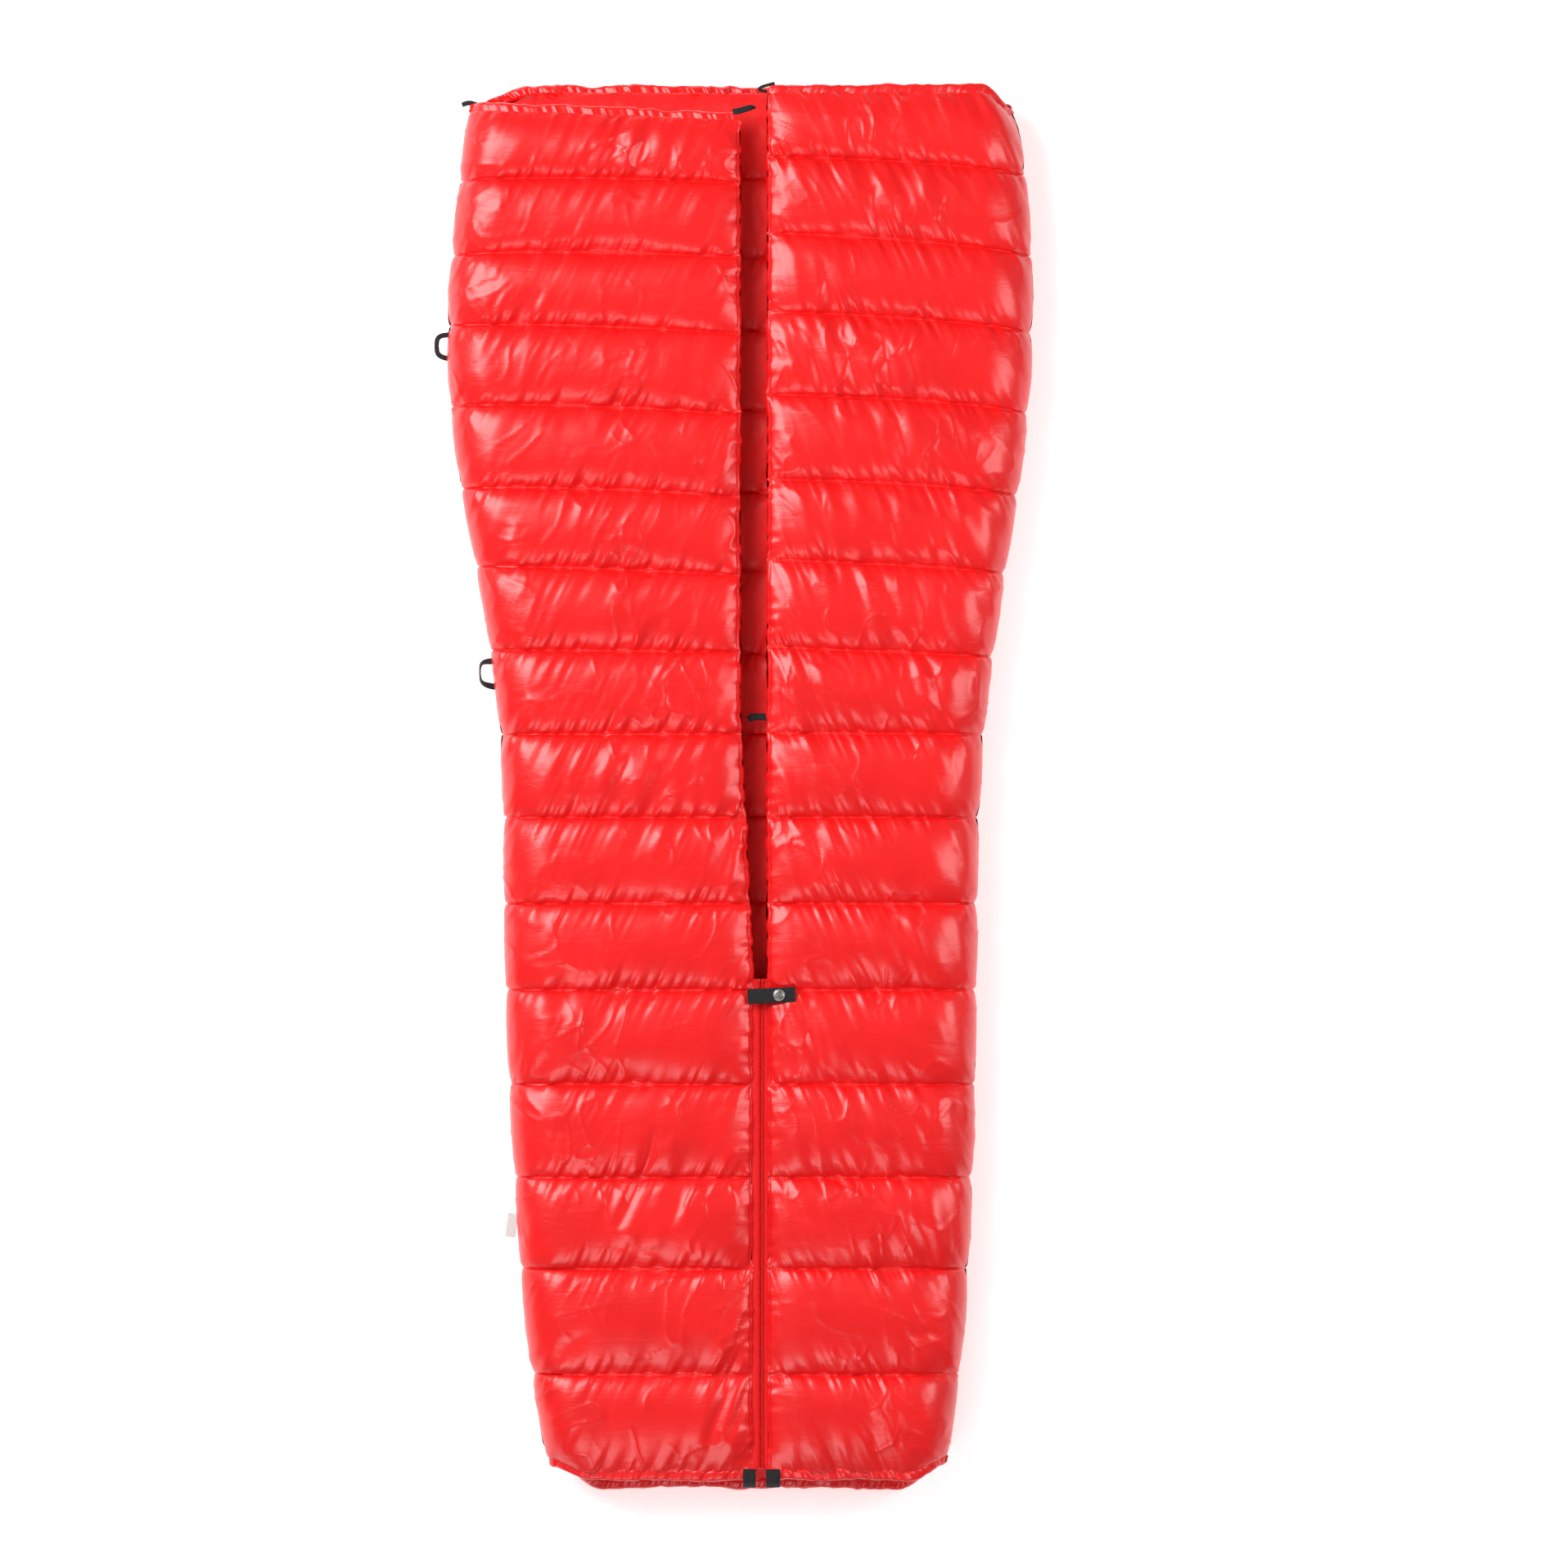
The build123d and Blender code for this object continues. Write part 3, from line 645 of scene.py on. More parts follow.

# %% [markdown]
# ## The two fronts
# Each front is a shell over a lining. The shell is laid out, filled and creased; the
# lining under it hangs the other way up and ends in the facing that closes the rows
# along the free edge.

# %% Fold lines
joints = {joint["name"]: joint for joint in frame["joints"]}
FOLD_BEFORE = 0.012
FOLD_AFTER = 0.060


def fold_line(joint_name, side):
    """Points before and after a lapel's fold line, level with it."""
    joint = joints[joint_name]
    on_line, axis = Vector(joint["pos_m"]), Vector(joint["axis"]).normalized()
    towards_edge = axis.cross(Vector((0, 0, 1)))
    if towards_edge.x * -side < 0:
        towards_edge.negate()
    return on_line - towards_edge * FOLD_BEFORE, on_line + towards_edge * FOLD_AFTER


LAPEL = {LEFT: "left_lapel", RIGHT: "right_lapel"}
fold_strip = {side: fold_line(f"{LAPEL[side]}_fold", side) for side in (LEFT, RIGHT)}


def bend_with_lapel(piece):
    """Bakes the piece's place into its points."""
    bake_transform(piece)


# %% Seam distances
def note_seams(piece, points, from_edge):
    """Notes for every point how far it is from its nearest seam, and which that is."""
    stops_y = points[is_seam, :, 1]
    y = points[..., 1]
    gap = np.abs(y[:, None, :] - stops_y[None, :, :])
    nearest = gap.argmin(axis=1)
    from_seam = gap.min(axis=1)
    signed = y - np.take_along_axis(stops_y, nearest, axis=0)
    note(piece, "from_seam", from_seam)
    note(piece, "seam_number", nearest)
    note(piece, "below_seam", np.where(signed < 0, 1.0, -1.0))
    note(piece, "from_edge", from_edge)


# %% Make the fronts
START_CRUMPLE = 0.0016
FRONT_END_Z = {"outer": 0.0885, "lining": 0.079}
no_inset = np.zeros(len(row_of))


def crumple(points, lean, seed):
    """Small slanting waves in the cloth, none at its held lines."""
    x, y = points[..., 0], points[..., 1]
    random = np.random.default_rng(seed)
    waves = np.zeros_like(x)
    for _ in range(50):
        length = random.uniform(0.014, 0.055)
        turn = math.radians(random.uniform(12, 48))
        phase = x * math.cos(turn) - lean * 0.6 * y * math.sin(turn)
        waves += np.sin(2 * math.pi * (phase / length + random.uniform())) * length / 0.05
    waves *= 0.25 + 0.95 * smooth(-0.4, 0.5, hills(x / 0.11 + 40, y / 0.07 + 40, seed + 90))
    columns = x.shape[1]
    free = pillow[:, None] * np.clip(np.arange(columns)[::-1] / 9, 0, 1)[None, :]
    free = free * np.clip(np.arange(columns) / 9, 0, 1)[None, :]
    raised = points.copy()
    raised[..., 2] += START_CRUMPLE * waves / 5 * free
    return raised


def make_front(side, seed):
    """One front's outer cloth, filled, with the points that it started from."""
    lean = -side
    name = "left_front_shell" if side == LEFT else "right_front_shell"
    points, from_edge = front_layer(side, OUTER_Z, EDGE_Z, FRONT_END_Z["outer"],
                                    no_inset, FLAT_COLUMNS, EDGE_REACH)
    points = crumple(points, lean, seed)
    piece = grid_piece(name, points)
    held = np.tile(is_seam[:, None], (1, points.shape[1]))
    held[:, 0] = True
    held[:, -4:] = True
    fill_with_down(piece, points, held, lean)
    note_seams(piece, points, from_edge)
    subdivide(piece)
    press_creases(piece, lean, seed + 20)
    piece.data.materials.append(shell_left if side == LEFT else shell_right)
    return piece, points


front_shell, front_points = {}, {}
for side, seed in ((LEFT, 3), (RIGHT, 11)):
    front_shell[side], front_points[side] = make_front(side, seed)
    print(front_shell[side].name, len(front_shell[side].data.polygons), "faces")

# %% Line the fronts
LINING_COLUMNS = 34
lining_inset = LINING_INSET * (1 - 0.85 * closing)


def make_front_lining(side, seed):
    """The cloth under a front, closed to it along the free edge."""
    name = "left_front_lining" if side == LEFT else "right_front_lining"
    points, from_edge = front_layer(side, LINING_Z, LINING_EDGE_Z, FRONT_END_Z["lining"],
                                    lining_inset, LINING_COLUMNS, 0.03)
    facing = front_points[side][:, -1:, :].copy()
    middle = (points[:, -1:, :] + facing) / 2
    points = np.concatenate([points, middle, facing], axis=1)
    from_edge = np.concatenate([from_edge, 0 * from_edge[:, :2]], axis=1)
    piece = grid_piece(name, points, faces_up=False)
    note_seams(piece, points, from_edge + 0.02)
    subdivide(piece)
    press_creases(piece, -side, seed, strength=0.8, near_edge=0.0)
    piece.data.materials.append(lining_nylon_painted_lighter)
    return piece


front_lining = {LEFT: make_front_lining(LEFT, 51), RIGHT: make_front_lining(RIGHT, 57)}

# %% [markdown]
# ## The back
# The back panel lies on the ground and is pressed flat there between its seams. Its
# lining is the floor of the sleeping space, and shows in the slit between the fronts.

# %% Make the back shell and its lining
BACK_Z = (0.0085, 0.0004)
BACK_END_Z = {"outer": 0.013, "lining": 0.027}
BACK_LINING_Z = (0.033, 0.0455)


def back_layer(heights, end_z, inset, columns):
    """Points of one layer of the back, from the left fold to the right one."""
    turn = np.linspace(0, math.pi / 2, FOLD_COLUMNS)
    guess = y_lines(back_stops(np.array([0.0, 1.0])))
    left = fold_x(LEFT, guess[:, 0]) + inset
    right = fold_x(RIGHT, guess[:, 1]) - inset
    reach = np.full(len(left), FOLD_REACH) * (1 - 0.35 * (inset > 0.02))
    rising = reach[:, None] * (1 - np.cos(turn))[None, :]
    run = np.linspace(0, 1, columns + 2)[1:-1]
    flat = (left + reach)[:, None] + (right - left - 2 * reach)[:, None] * run[None, :]
    x = np.hstack([left[:, None] + rising, flat, (right[:, None] - rising)[:, ::-1]])
    risen = np.concatenate([np.sin(turn), np.ones(columns), np.sin(turn)[::-1]])
    across = (x - left[:, None]) / (right - left)[:, None]
    y = y_lines(back_stops(across.mean(axis=0)))
    seam_z, crown_z = heights
    top = seam_z + (crown_z - seam_z) * pillow
    top = top * (1 - closing) + end_z * closing
    z = FOLD_Z + (top[:, None] - FOLD_Z) * risen[None, :]
    return np.stack([x, y, z], axis=-1)


def make_back(name, heights, end_z, inset, columns, faces_up, seed, strength):
    points = back_layer(heights, end_z, inset, columns)
    piece = grid_piece(name, points, faces_up=faces_up)
    note_seams(piece, points, np.full(points.shape[:2], 0.1))
    bpy.ops.object.shade_smooth()
    press_creases(piece, 1, seed, strength=strength, near_edge=0.0)
    return piece


back_shell = make_back("back_shell", BACK_Z, BACK_END_Z["outer"], no_inset, 90, False, 71, 0.5)
back_shell.data.materials.append(shell_left)
back_lining = make_back("back_lining_cloth", BACK_LINING_Z, BACK_END_Z["lining"],
                        lining_inset, 120, True, 81, 1.3)
back_lining.data.materials.append(lining_nylon_painted_lighter)

# %% Hide the CAD pieces that the cloth replaces, and attach the back to the quilt's base
for side in (LEFT, RIGHT):
    for piece in (front_shell[side], front_lining[side]):
        bend_with_lapel(piece)
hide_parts("left_lapel_outer_shell", "left_lapel_facing",
            "left_lapel_down_fill", "left_lapel_baffle_walls", "lower_left_outer_shell",
            "left_zip_facing", "lower_front_down_fill", "lower_front_baffle_walls")
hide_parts("right_lapel_outer_shell", "right_lapel_facing",
            "right_lapel_down_fill", "right_lapel_baffle_walls", "lower_right_outer_shell",
            "right_zip_facing")
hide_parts("left_lapel_lining", "lower_left_lining")
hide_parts("right_lapel_lining", "lower_right_lining")
for piece, slot_name in ((back_shell, "shell"), (back_lining, "lining")):
    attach(piece, "quilt_base")
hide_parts("back_outer_shell", "side_outer_shells", "back_down_fill",
            "back_baffle_walls")
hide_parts("back_lining", "side_linings")

# %% [markdown]
# ## Gathered hems
# The head and the foot end in a narrow casing with an elastic cord inside. The elastic
# is shorter than the cloth, so the casing is gathered into small, close puckers all
# round. It is a flat tube, made from a grid rolled up, that follows the end of each
# layer and goes round with it at the side folds. Every ring of the tube swells or
# shrinks a little differently, and two lines of stitches press it in.

# %% Make the hems
HEM_STEP = 0.0017
HEM_SIDES = 18
PUCKER_PITCH, FINE_PUCKER_PITCH, BULGE_PITCH = 0.0065, 0.0033, 0.03


def resampled(path, step):
    """The same line with its points a step apart."""
    lengths = np.concatenate([[0], np.cumsum(np.linalg.norm(np.diff(path, axis=0), axis=1))])
    stations = np.linspace(0, lengths[-1], max(int(lengths[-1] / step), 2))
    return np.stack([np.interp(stations, lengths, path[:, axis]) for axis in range(3)], axis=-1)


def tube_piece(name, rings):
    """A closed tube through rings of points: a grid rolled up, joined and capped."""
    count, sides = rings.shape[:2]
    bpy.ops.object.select_all(action="DESELECT")
    bpy.ops.mesh.primitive_grid_add(x_subdivisions=sides, y_subdivisions=count - 1, size=1)
    piece = bpy.context.object
    piece.name = piece.data.name = name
    closed = np.concatenate([rings, rings[:, :1]], axis=1)
    write_points(piece, closed.reshape(-1, 3))
    lengths = np.linalg.norm(np.diff(rings[:, 0], axis=0), axis=1)
    along = np.concatenate([[0], np.cumsum(lengths)])
    around = np.linspace(0, 0.03, sides + 1)
    cloth_map = np.stack(np.broadcast_arrays(around[None, :], along[:, None]), axis=-1)
    corner = np.empty(len(piece.data.loops), int)
    piece.data.loops.foreach_get("vertex_index", corner)
    piece.data.uv_layers.active.data.foreach_set("uv", cloth_map.reshape(-1, 2)[corner].ravel())
    bpy.ops.object.mode_set(mode="EDIT")
    bpy.ops.mesh.select_all(action="SELECT")
    bpy.ops.mesh.remove_doubles(threshold=0.00001)
    bpy.ops.mesh.select_all(action="DESELECT")
    bpy.ops.mesh.select_non_manifold()
    bpy.ops.mesh.fill_holes(sides=0)
    bpy.ops.mesh.select_all(action="SELECT")
    bpy.ops.mesh.normals_make_consistent(inside=False)
    bpy.ops.object.mode_set(mode="OBJECT")
    bpy.ops.object.shade_smooth()
    return piece


def hem_frame(line, outward):
    """Unit directions at each point of a line: out over the quilt's end, and upward."""
    way = np.gradient(line, axis=0)
    way /= np.linalg.norm(way, axis=1)[:, None]
    beyond = np.array([0, outward, 0]) - way * (way[:, 1:2] * outward)
    beyond /= np.linalg.norm(beyond, axis=1)[:, None]
    return beyond, np.cross(way, beyond)


def gathered_hem(name, path, deep, thick, seed, outward, tapers=True):
    """A puckered casing along a path; outward is 1 at the head and -1 at the foot."""
    line = resampled(path, HEM_STEP)
    along = np.arange(len(line)) * HEM_STEP
    beyond, upward = hem_frame(line, outward)
    turn = np.linspace(0, 2 * math.pi, HEM_SIDES, endpoint=False)[None, :]
    ahead, up = np.cos(turn), np.sin(turn)
    lean = along[:, None] + 0.004 * ahead
    swell = 0.34 * hills(lean / PUCKER_PITCH, 3 + 0 * turn + 0 * lean, seed)
    swell = swell + 0.16 * hills(lean / FINE_PUCKER_PITCH, 9 + np.sign(up), seed + 1)
    swell = swell + 0.35 * hills(along[:, None] / BULGE_PITCH, 5 + 0 * turn, seed + 2)
    stitch = 0.30 * np.exp(-((ahead - 0.1) / 0.16) ** 2)
    stitch = stitch + 0.12 * np.exp(-((ahead - 0.6) / 0.16) ** 2)
    high = thick / 2 * (1 + swell - stitch)
    at_edge = (along[-1] - along) / 0.006 if tapers else np.ones(len(along))
    ends = np.clip(at_edge, 0.05, 1)[:, None] ** 0.5
    wide = deep / 2 * (1 + 0.10 * hills(along[:, None] / 0.008, 7 + 0 * turn, seed + 3))
    rings = line[:, None, :] + upward[:, None, :] * (up * high * ends)[..., None]
    rings = rings + beyond[:, None, :] * (ahead * wide * ends)[..., None]
    sway = hills(along / 0.045, 11 + 0 * along, seed + 4) * 0.0022
    sway = sway + hills(along / 0.018, 13 + 0 * along, seed + 5) * 0.0009
    rings[..., 1] += (sway * np.clip(ends[:, 0], 0, 1))[:, None]
    return tube_piece(name, rings)


HEM_DEEP = 0.018
HEM_THICK = 0.0095
HEM_OVERLAP = 0.008
HEM_INSIDE = 0.004


def end_line(points, row, inward, outward):
    """The middle of the hem: over the end of a layer, and a little inside it."""
    line = resampled(points[row], 0.006)
    beyond, upward = hem_frame(line, outward)
    towards = np.sign(upward[0, 0] * (line[:, 0].mean() - line[0, 0]))
    return line + beyond * (HEM_DEEP / 2 - HEM_OVERLAP) + upward * towards * inward


hems = {}
for side in (LEFT, RIGHT):
    plain = front_points[side]
    name = "left" if side == LEFT else "right"
    for end, row, outward, seed in (("head", 0, 1, 101), ("foot", -1, -1, 111)):
        path = end_line(plain, row, HEM_INSIDE, outward)
        hems[f"{name}_{end}"] = gathered_hem(f"{name}_{end}_hem", path, HEM_DEEP, HEM_THICK,
                                             seed + side, outward)
back_points = back_layer(BACK_Z, BACK_END_Z["outer"], no_inset, 90)
BACK_HEM_THICK = 0.0175
BACK_HEM_INSIDE = 0.0065
hems["back_head"] = gathered_hem("back_head_gathers", end_line(back_points, 0, BACK_HEM_INSIDE, 1),
                                 HEM_DEEP, BACK_HEM_THICK, 121, 1, tapers=False)
hems["back_foot"] = gathered_hem("back_foot_gathers", end_line(back_points, -1, BACK_HEM_INSIDE, -1),
                                 HEM_DEEP, BACK_HEM_THICK, 131, -1, tapers=False)
for key, piece in hems.items():
    piece.data.materials.append(shell_right if "right" in key else shell_left)
    if key == "left_head":
        bend_with_lapel(piece)
    elif key == "right_head":
        bend_with_lapel(piece)
    else:
        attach(piece, "quilt_base")
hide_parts("left_lapel_head_hem", "left_lapel_head_elastic")
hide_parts("right_lapel_head_hem", "right_lapel_head_elastic")
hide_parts("back_head_hem", "back_head_elastic")
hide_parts("back_foot_hem", "foot_elastic")
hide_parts("front_foot_hem")

# %% [markdown]
# ## Stitches
# A lockstitch shows on top of the cloth as a line of short dashes of thread, each
# dipping in at its two ends. One dash is modelled from a thin cylinder: it is cut in the
# middle and its ends are pinched and pushed down. An Array modifier repeats it, and a
# Curve modifier lays the row along a seam. Each front's rows are joined into one piece.

# %% One dash of thread
STITCH_PITCH = 0.0033
STITCH_LONG = 0.0023
THREAD_RADIUS = 0.00026


def select_only(*pieces):
    bpy.ops.object.select_all(action="DESELECT")
    for piece in pieces:
        piece.select_set(True)
    bpy.context.view_layer.objects.active = pieces[0]


def one_stitch(name):
    bpy.ops.object.select_all(action="DESELECT")
    bpy.ops.mesh.primitive_cylinder_add(vertices=6, radius=THREAD_RADIUS, depth=STITCH_LONG,
                                        rotation=(0, math.pi / 2, 0))
    dash = bpy.context.object
    dash.name = dash.data.name = name
    bpy.ops.object.transform_apply(location=True, rotation=True, scale=True)
    bpy.ops.object.mode_set(mode="EDIT")
    bpy.ops.mesh.select_all(action="SELECT")
    bpy.ops.mesh.bisect(plane_co=(0, 0, 0), plane_no=(1, 0, 0))
    bpy.ops.object.mode_set(mode="OBJECT")
    shape = read_points(dash)
    at_end = np.abs(shape[:, 0]) > STITCH_LONG / 4
    shape[at_end, 1:] *= 0.55
    shape[at_end, 2] -= THREAD_RADIUS
    write_points(dash, shape)
    return dash


# %% Rows along a curve
def guide(path, tilt=None, order=2):
    """A curve for pieces to follow, removed when they are done."""
    bpy.ops.object.select_all(action="DESELECT")
    bpy.ops.curve.primitive_nurbs_path_add(radius=1)
    rail = bpy.context.object
    rail.data.splines.clear()
    spline = rail.data.splines.new("NURBS")
    spline.points.add(len(path) - 1)
    for point, place in zip(spline.points, path):
        point.co = (*map(float, place), 1)
    if tilt is not None:
        for point, angle in zip(spline.points, tilt):
            point.tilt = math.radians(angle)
    spline.order_u = order
    spline.use_endpoint_u = True
    spline.resolution_u = 12
    rail.data.twist_mode = "Z_UP"
    rail.data.use_path = True
    return rail


def rail_length(rail):
    return sum(spline.calc_length() for spline in rail.data.splines)


def laid_along(piece, rail):
    select_only(piece)
    bend = piece.modifiers.new("along", "CURVE")
    bend.object = rail
    bpy.ops.object.modifier_apply(modifier=bend.name)
    bpy.data.objects.remove(rail)


def stitch_row(path):
    rail = guide(path)
    row = one_stitch("stitch_row")
    select_only(row)
    repeat = row.modifiers.new("repeat", "ARRAY")
    repeat.use_relative_offset = False
    repeat.use_constant_offset = True
    repeat.constant_offset_displace = (STITCH_PITCH, 0, 0)
    repeat.count = max(int((rail_length(rail) - STITCH_LONG) / STITCH_PITCH), 1)
    bpy.ops.object.modifier_apply(modifier=repeat.name)
    laid_along(row, rail)
    return row


def sewing(name, paths):
    """One piece with the stitches of several lines."""
    rows = [stitch_row(path) for path in paths]
    select_only(*rows)
    bpy.ops.object.join()
    piece = bpy.context.object
    piece.name = piece.data.name = name
    bpy.ops.object.transform_apply(location=True, rotation=True, scale=True)
    bpy.ops.object.shade_smooth()
    print(name, len(piece.data.polygons), "faces in", len(paths), "rows")
    return piece


# %% Thread, and the seams of the fronts
thread, nodes, links = new_finish("sewing_thread")
thread_shader = nodes["Principled BSDF"]
thread_shader.inputs["Roughness"].default_value = 0.55
thread_shader.inputs["Sheen Weight"].default_value = 0.2
where = add_node(nodes, "ShaderNodeTexCoord", (-900, 0))
twist = add_node(nodes, "ShaderNodeTexWave", (-650, 0), Scale=900.0)
twist.bands_direction = "DIAGONAL"
links.new(where.outputs["Object"], twist.inputs["Vector"])
links.new(two_colours(nodes, links, twist.outputs["Fac"], (0.60, 0.003, 0.004), (0.80, 0.006, 0.007)),
          thread_shader.inputs["Base Color"])
bump_chain(nodes, links, thread_shader, [(twist.outputs["Fac"], 0.0001, 0.5)])

SEAM_LIFT = 0.0015
EDGE_COLUMN = -3
EDGE_LIFT = 0.0004
seam_rows = np.flatnonzero(is_seam)
for side, name in ((LEFT, "left"), (RIGHT, "right")):
    plain = front_points[side]
    paths = [plain[row, FOLD_COLUMNS // 2:-2] + (0, 0, SEAM_LIFT) for row in seam_rows[1:-1]]
    paths.append(plain[6:-6, EDGE_COLUMN] + (0, 0, EDGE_LIFT))
    stitching = sewing(f"{name}_front_stitches", paths)
    stitching.data.materials.append(thread)
    bend_with_lapel(stitching)

# %% [markdown]
# ## Webbing
# Straps, loops and tabs are narrow woven tape. A piece starts as a flat grid of its own
# length and width. Solidify gives it its thickness and Subdivision rounds its selvedges,
# and then a Curve modifier lays it along its route, with a tilt where it twists. The
# weave follows the tape's own map, in metres, so its ribs run square to the edges
# however the tape is folded.

# %% Woven finishes
def woven(name, dark, light, ribs, roughness):
    """A ribbed tape: close ribs across it and fine ones along it."""
    finish, nodes, links = new_finish(name)
    shader = nodes["Principled BSDF"]
    shader.inputs["Roughness"].default_value = roughness
    shader.inputs["Specular IOR Level"].default_value = 0.3
    shader.inputs["Sheen Weight"].default_value = 0.08
    shader.inputs["Sheen Roughness"].default_value = 0.5
    where = add_node(nodes, "ShaderNodeTexCoord", (-1200, 0))
    rib = add_node(nodes, "ShaderNodeTexWave", (-800, 200), Scale=ribs, Distortion=0.4)
    yarn = add_node(nodes, "ShaderNodeTexWave", (-800, -100), Scale=ribs * 0.6)
    rib.bands_direction, yarn.bands_direction = "X", "Y"
    wear = add_node(nodes, "ShaderNodeTexNoise", (-800, -400), Scale=220.0, Detail=3.0)
    links.new(where.outputs["UV"], rib.inputs["Vector"])
    links.new(where.outputs["UV"], yarn.inputs["Vector"])
    links.new(where.outputs["Object"], wear.inputs["Vector"])
    links.new(two_colours(nodes, links, wear.outputs["Fac"], dark, light), shader.inputs["Base Color"])
    bump_chain(nodes, links, shader, [
        (rib.outputs["Fac"], 0.0003, 0.7),
        (yarn.outputs["Fac"], 0.0002, 0.4),
    ])
    return finish


black_webbing = woven("black_webbing", (0.004, 0.004, 0.005), (0.014, 0.014, 0.016), 260, 0.65)
red_tape = woven("red_zip_tape", (0.80, 0.003, 0.004), (0.92, 0.006, 0.007), 340, 0.6)
white_tape = woven("white_tag_tape", (0.78, 0.78, 0.76), (0.90, 0.90, 0.88), 420, 0.7)


# %% A strip of tape
def strip(name, route, wide, thick, finish, tilt=None, columns=4, order=3, step=0.0016):
    """A tape along a route, its width level unless it is tilted."""
    rail = guide(route, tilt, order)
    long = rail_length(rail)
    pieces = max(int(long / step), 6)
    bpy.ops.object.select_all(action="DESELECT")
    bpy.ops.mesh.primitive_grid_add(x_subdivisions=pieces, y_subdivisions=columns, size=1)
    tape = bpy.context.object
    tape.name = tape.data.name = name
    flat = read_points(tape)
    flat[:, 0] = (flat[:, 0] + 0.5) * long
    flat[:, 1] *= wide
    write_points(tape, flat)
    corner = np.empty(len(tape.data.loops), int)
    tape.data.loops.foreach_get("vertex_index", corner)
    tape.data.uv_layers.active.data.foreach_set("uv", flat[corner, :2].ravel())
    select_only(tape)
    wall = tape.modifiers.new("wall", "SOLIDIFY")
    wall.thickness = thick
    wall.offset = 0
    bpy.ops.object.modifier_apply(modifier=wall.name)
    subdivide(tape)
    laid_along(tape, rail)
    tape.data.materials.append(finish)
    return tape


# %% [markdown]
# ## Loops and tabs
# The pad loops are sewn into the left side seam and stand a little off it. Where a tape
# turns a corner it folds or twists, so the lower loop shows its thin edge. The small
# tabs at the corners and at the foot hold the ends of the elastics.

# %% Side loops
WEB_THICK = 0.0014
LOOP_Z = 0.054
upper_loop = strip("side_loop_upper_tape", [
    (-0.368, 0.6105, LOOP_Z), (-0.380, 0.6098, LOOP_Z), (-0.3975, 0.6078, LOOP_Z),
    (-0.3995, 0.5945, LOOP_Z), (-0.3975, 0.5810, LOOP_Z), (-0.380, 0.5763, LOOP_Z),
    (-0.368, 0.5755, LOOP_Z)], 0.0072, WEB_THICK, black_webbing, tilt=(0, 0, 12, 25, 12, 0, 0))
lower_loop = strip("side_loop_lower_tape", [
    (-0.312, 0.1700, LOOP_Z), (-0.3245, 0.1697, LOOP_Z), (-0.3395, 0.1680, LOOP_Z),
    (-0.3410, 0.1535, LOOP_Z), (-0.3390, 0.1400, LOOP_Z), (-0.3245, 0.1350, LOOP_Z),
    (-0.312, 0.1345, LOOP_Z)], 0.0090, WEB_THICK, black_webbing, tilt=(0, 5, 60, 82, 60, 5, 0))

# %% Loops at the corners and the free edge
right_loop = strip("right_corner_loop_tape", [
    (0.0570, 0.9462, 0.0850), (0.0410, 0.9425, 0.0852), (0.0345, 0.9385, 0.0850),
    (0.0410, 0.9350, 0.0842), (0.0570, 0.9348, 0.0840)], 0.0046, WEB_THICK, black_webbing,
    tilt=(0, 10, 35, 10, 0), step=0.0012)
left_loop = strip("left_corner_loop_tape", [
    (0.0000, 0.9075, 0.0850), (0.0080, 0.9085, 0.0875), (0.0170, 0.9112, 0.0885),
    (0.0265, 0.9140, 0.0860), (0.0285, 0.9120, 0.0820)], 0.0085, 0.0022, black_webbing,
    tilt=(0, 0, 6, 18, 40))
middle_loop = strip("centre_edge_loop_tape", [
    (0.0580, 0.0940, 0.0800), (0.0470, 0.0940, 0.0750), (0.0345, 0.0945, 0.0700),
    (0.0255, 0.0942, 0.0688), (0.0212, 0.0905, 0.0680)], 0.0100, WEB_THICK, black_webbing,
    tilt=(0, 0, 4, 14, 20))
head_tab = strip("head_corner_tab_tape", [
    (-0.3400, 0.9190, 0.0300), (-0.3520, 0.9240, 0.0290), (-0.3600, 0.9240, 0.0280),
    (-0.3660, 0.9215, 0.0255)],
    0.0070, WEB_THICK, black_webbing, tilt=(0, 4, 8, 16))

# %% Tabs at the foot, and the blank tag
foot_tab = {}
for name, middle, wide in (("left", 0.0228, 0.0175), ("right", 0.0545, 0.0195)):
    foot_tab[name] = strip(f"foot_tab_{name}_tape", [
        (middle, -0.9170, 0.0905), (middle, -0.9260, 0.0955), (middle, -0.9355, 0.0945),
        (middle, -0.9420, 0.0850)], wide, WEB_THICK, black_webbing)
side_tag = strip("blank_side_tag_tape", [
    (-0.2955, -0.5745, 0.0590), (-0.2980, -0.5905, 0.0596), (-0.3000, -0.6065, 0.0588)],
    0.0140, 0.0006, white_tape)
stands_for = {
    "side_loop_upper": (upper_loop, "quilt_base"), "side_loop_lower": (lower_loop, "quilt_base"),
    "right_corner_loop": (right_loop, "right_lapel"), "left_corner_loop": (left_loop, "left_lapel"),
    "centre_edge_loop": (middle_loop, "right_lapel"), "head_corner_tab": (head_tab, "quilt_base"),
    "foot_tab_left": (foot_tab["left"], "quilt_base"),
    "foot_tab_right": (foot_tab["right"], "quilt_base"),
    "blank_side_tag": (side_tag, "quilt_base"),
}
for node, (piece, body) in stands_for.items():
    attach(piece, body)
    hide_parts(node)

# %% [markdown]
# ## The zip
# A coil zip is a nylon wire wound into a long spring and sewn to a woven tape. One turn
# of the spring is a torus with few faces, stood on edge, and an Array modifier repeats
# it. The tapes run out under the hemmed edges of the fronts.

# %% Coils
COIL_PITCH = 0.0016
WIRE_RADIUS = 0.00042


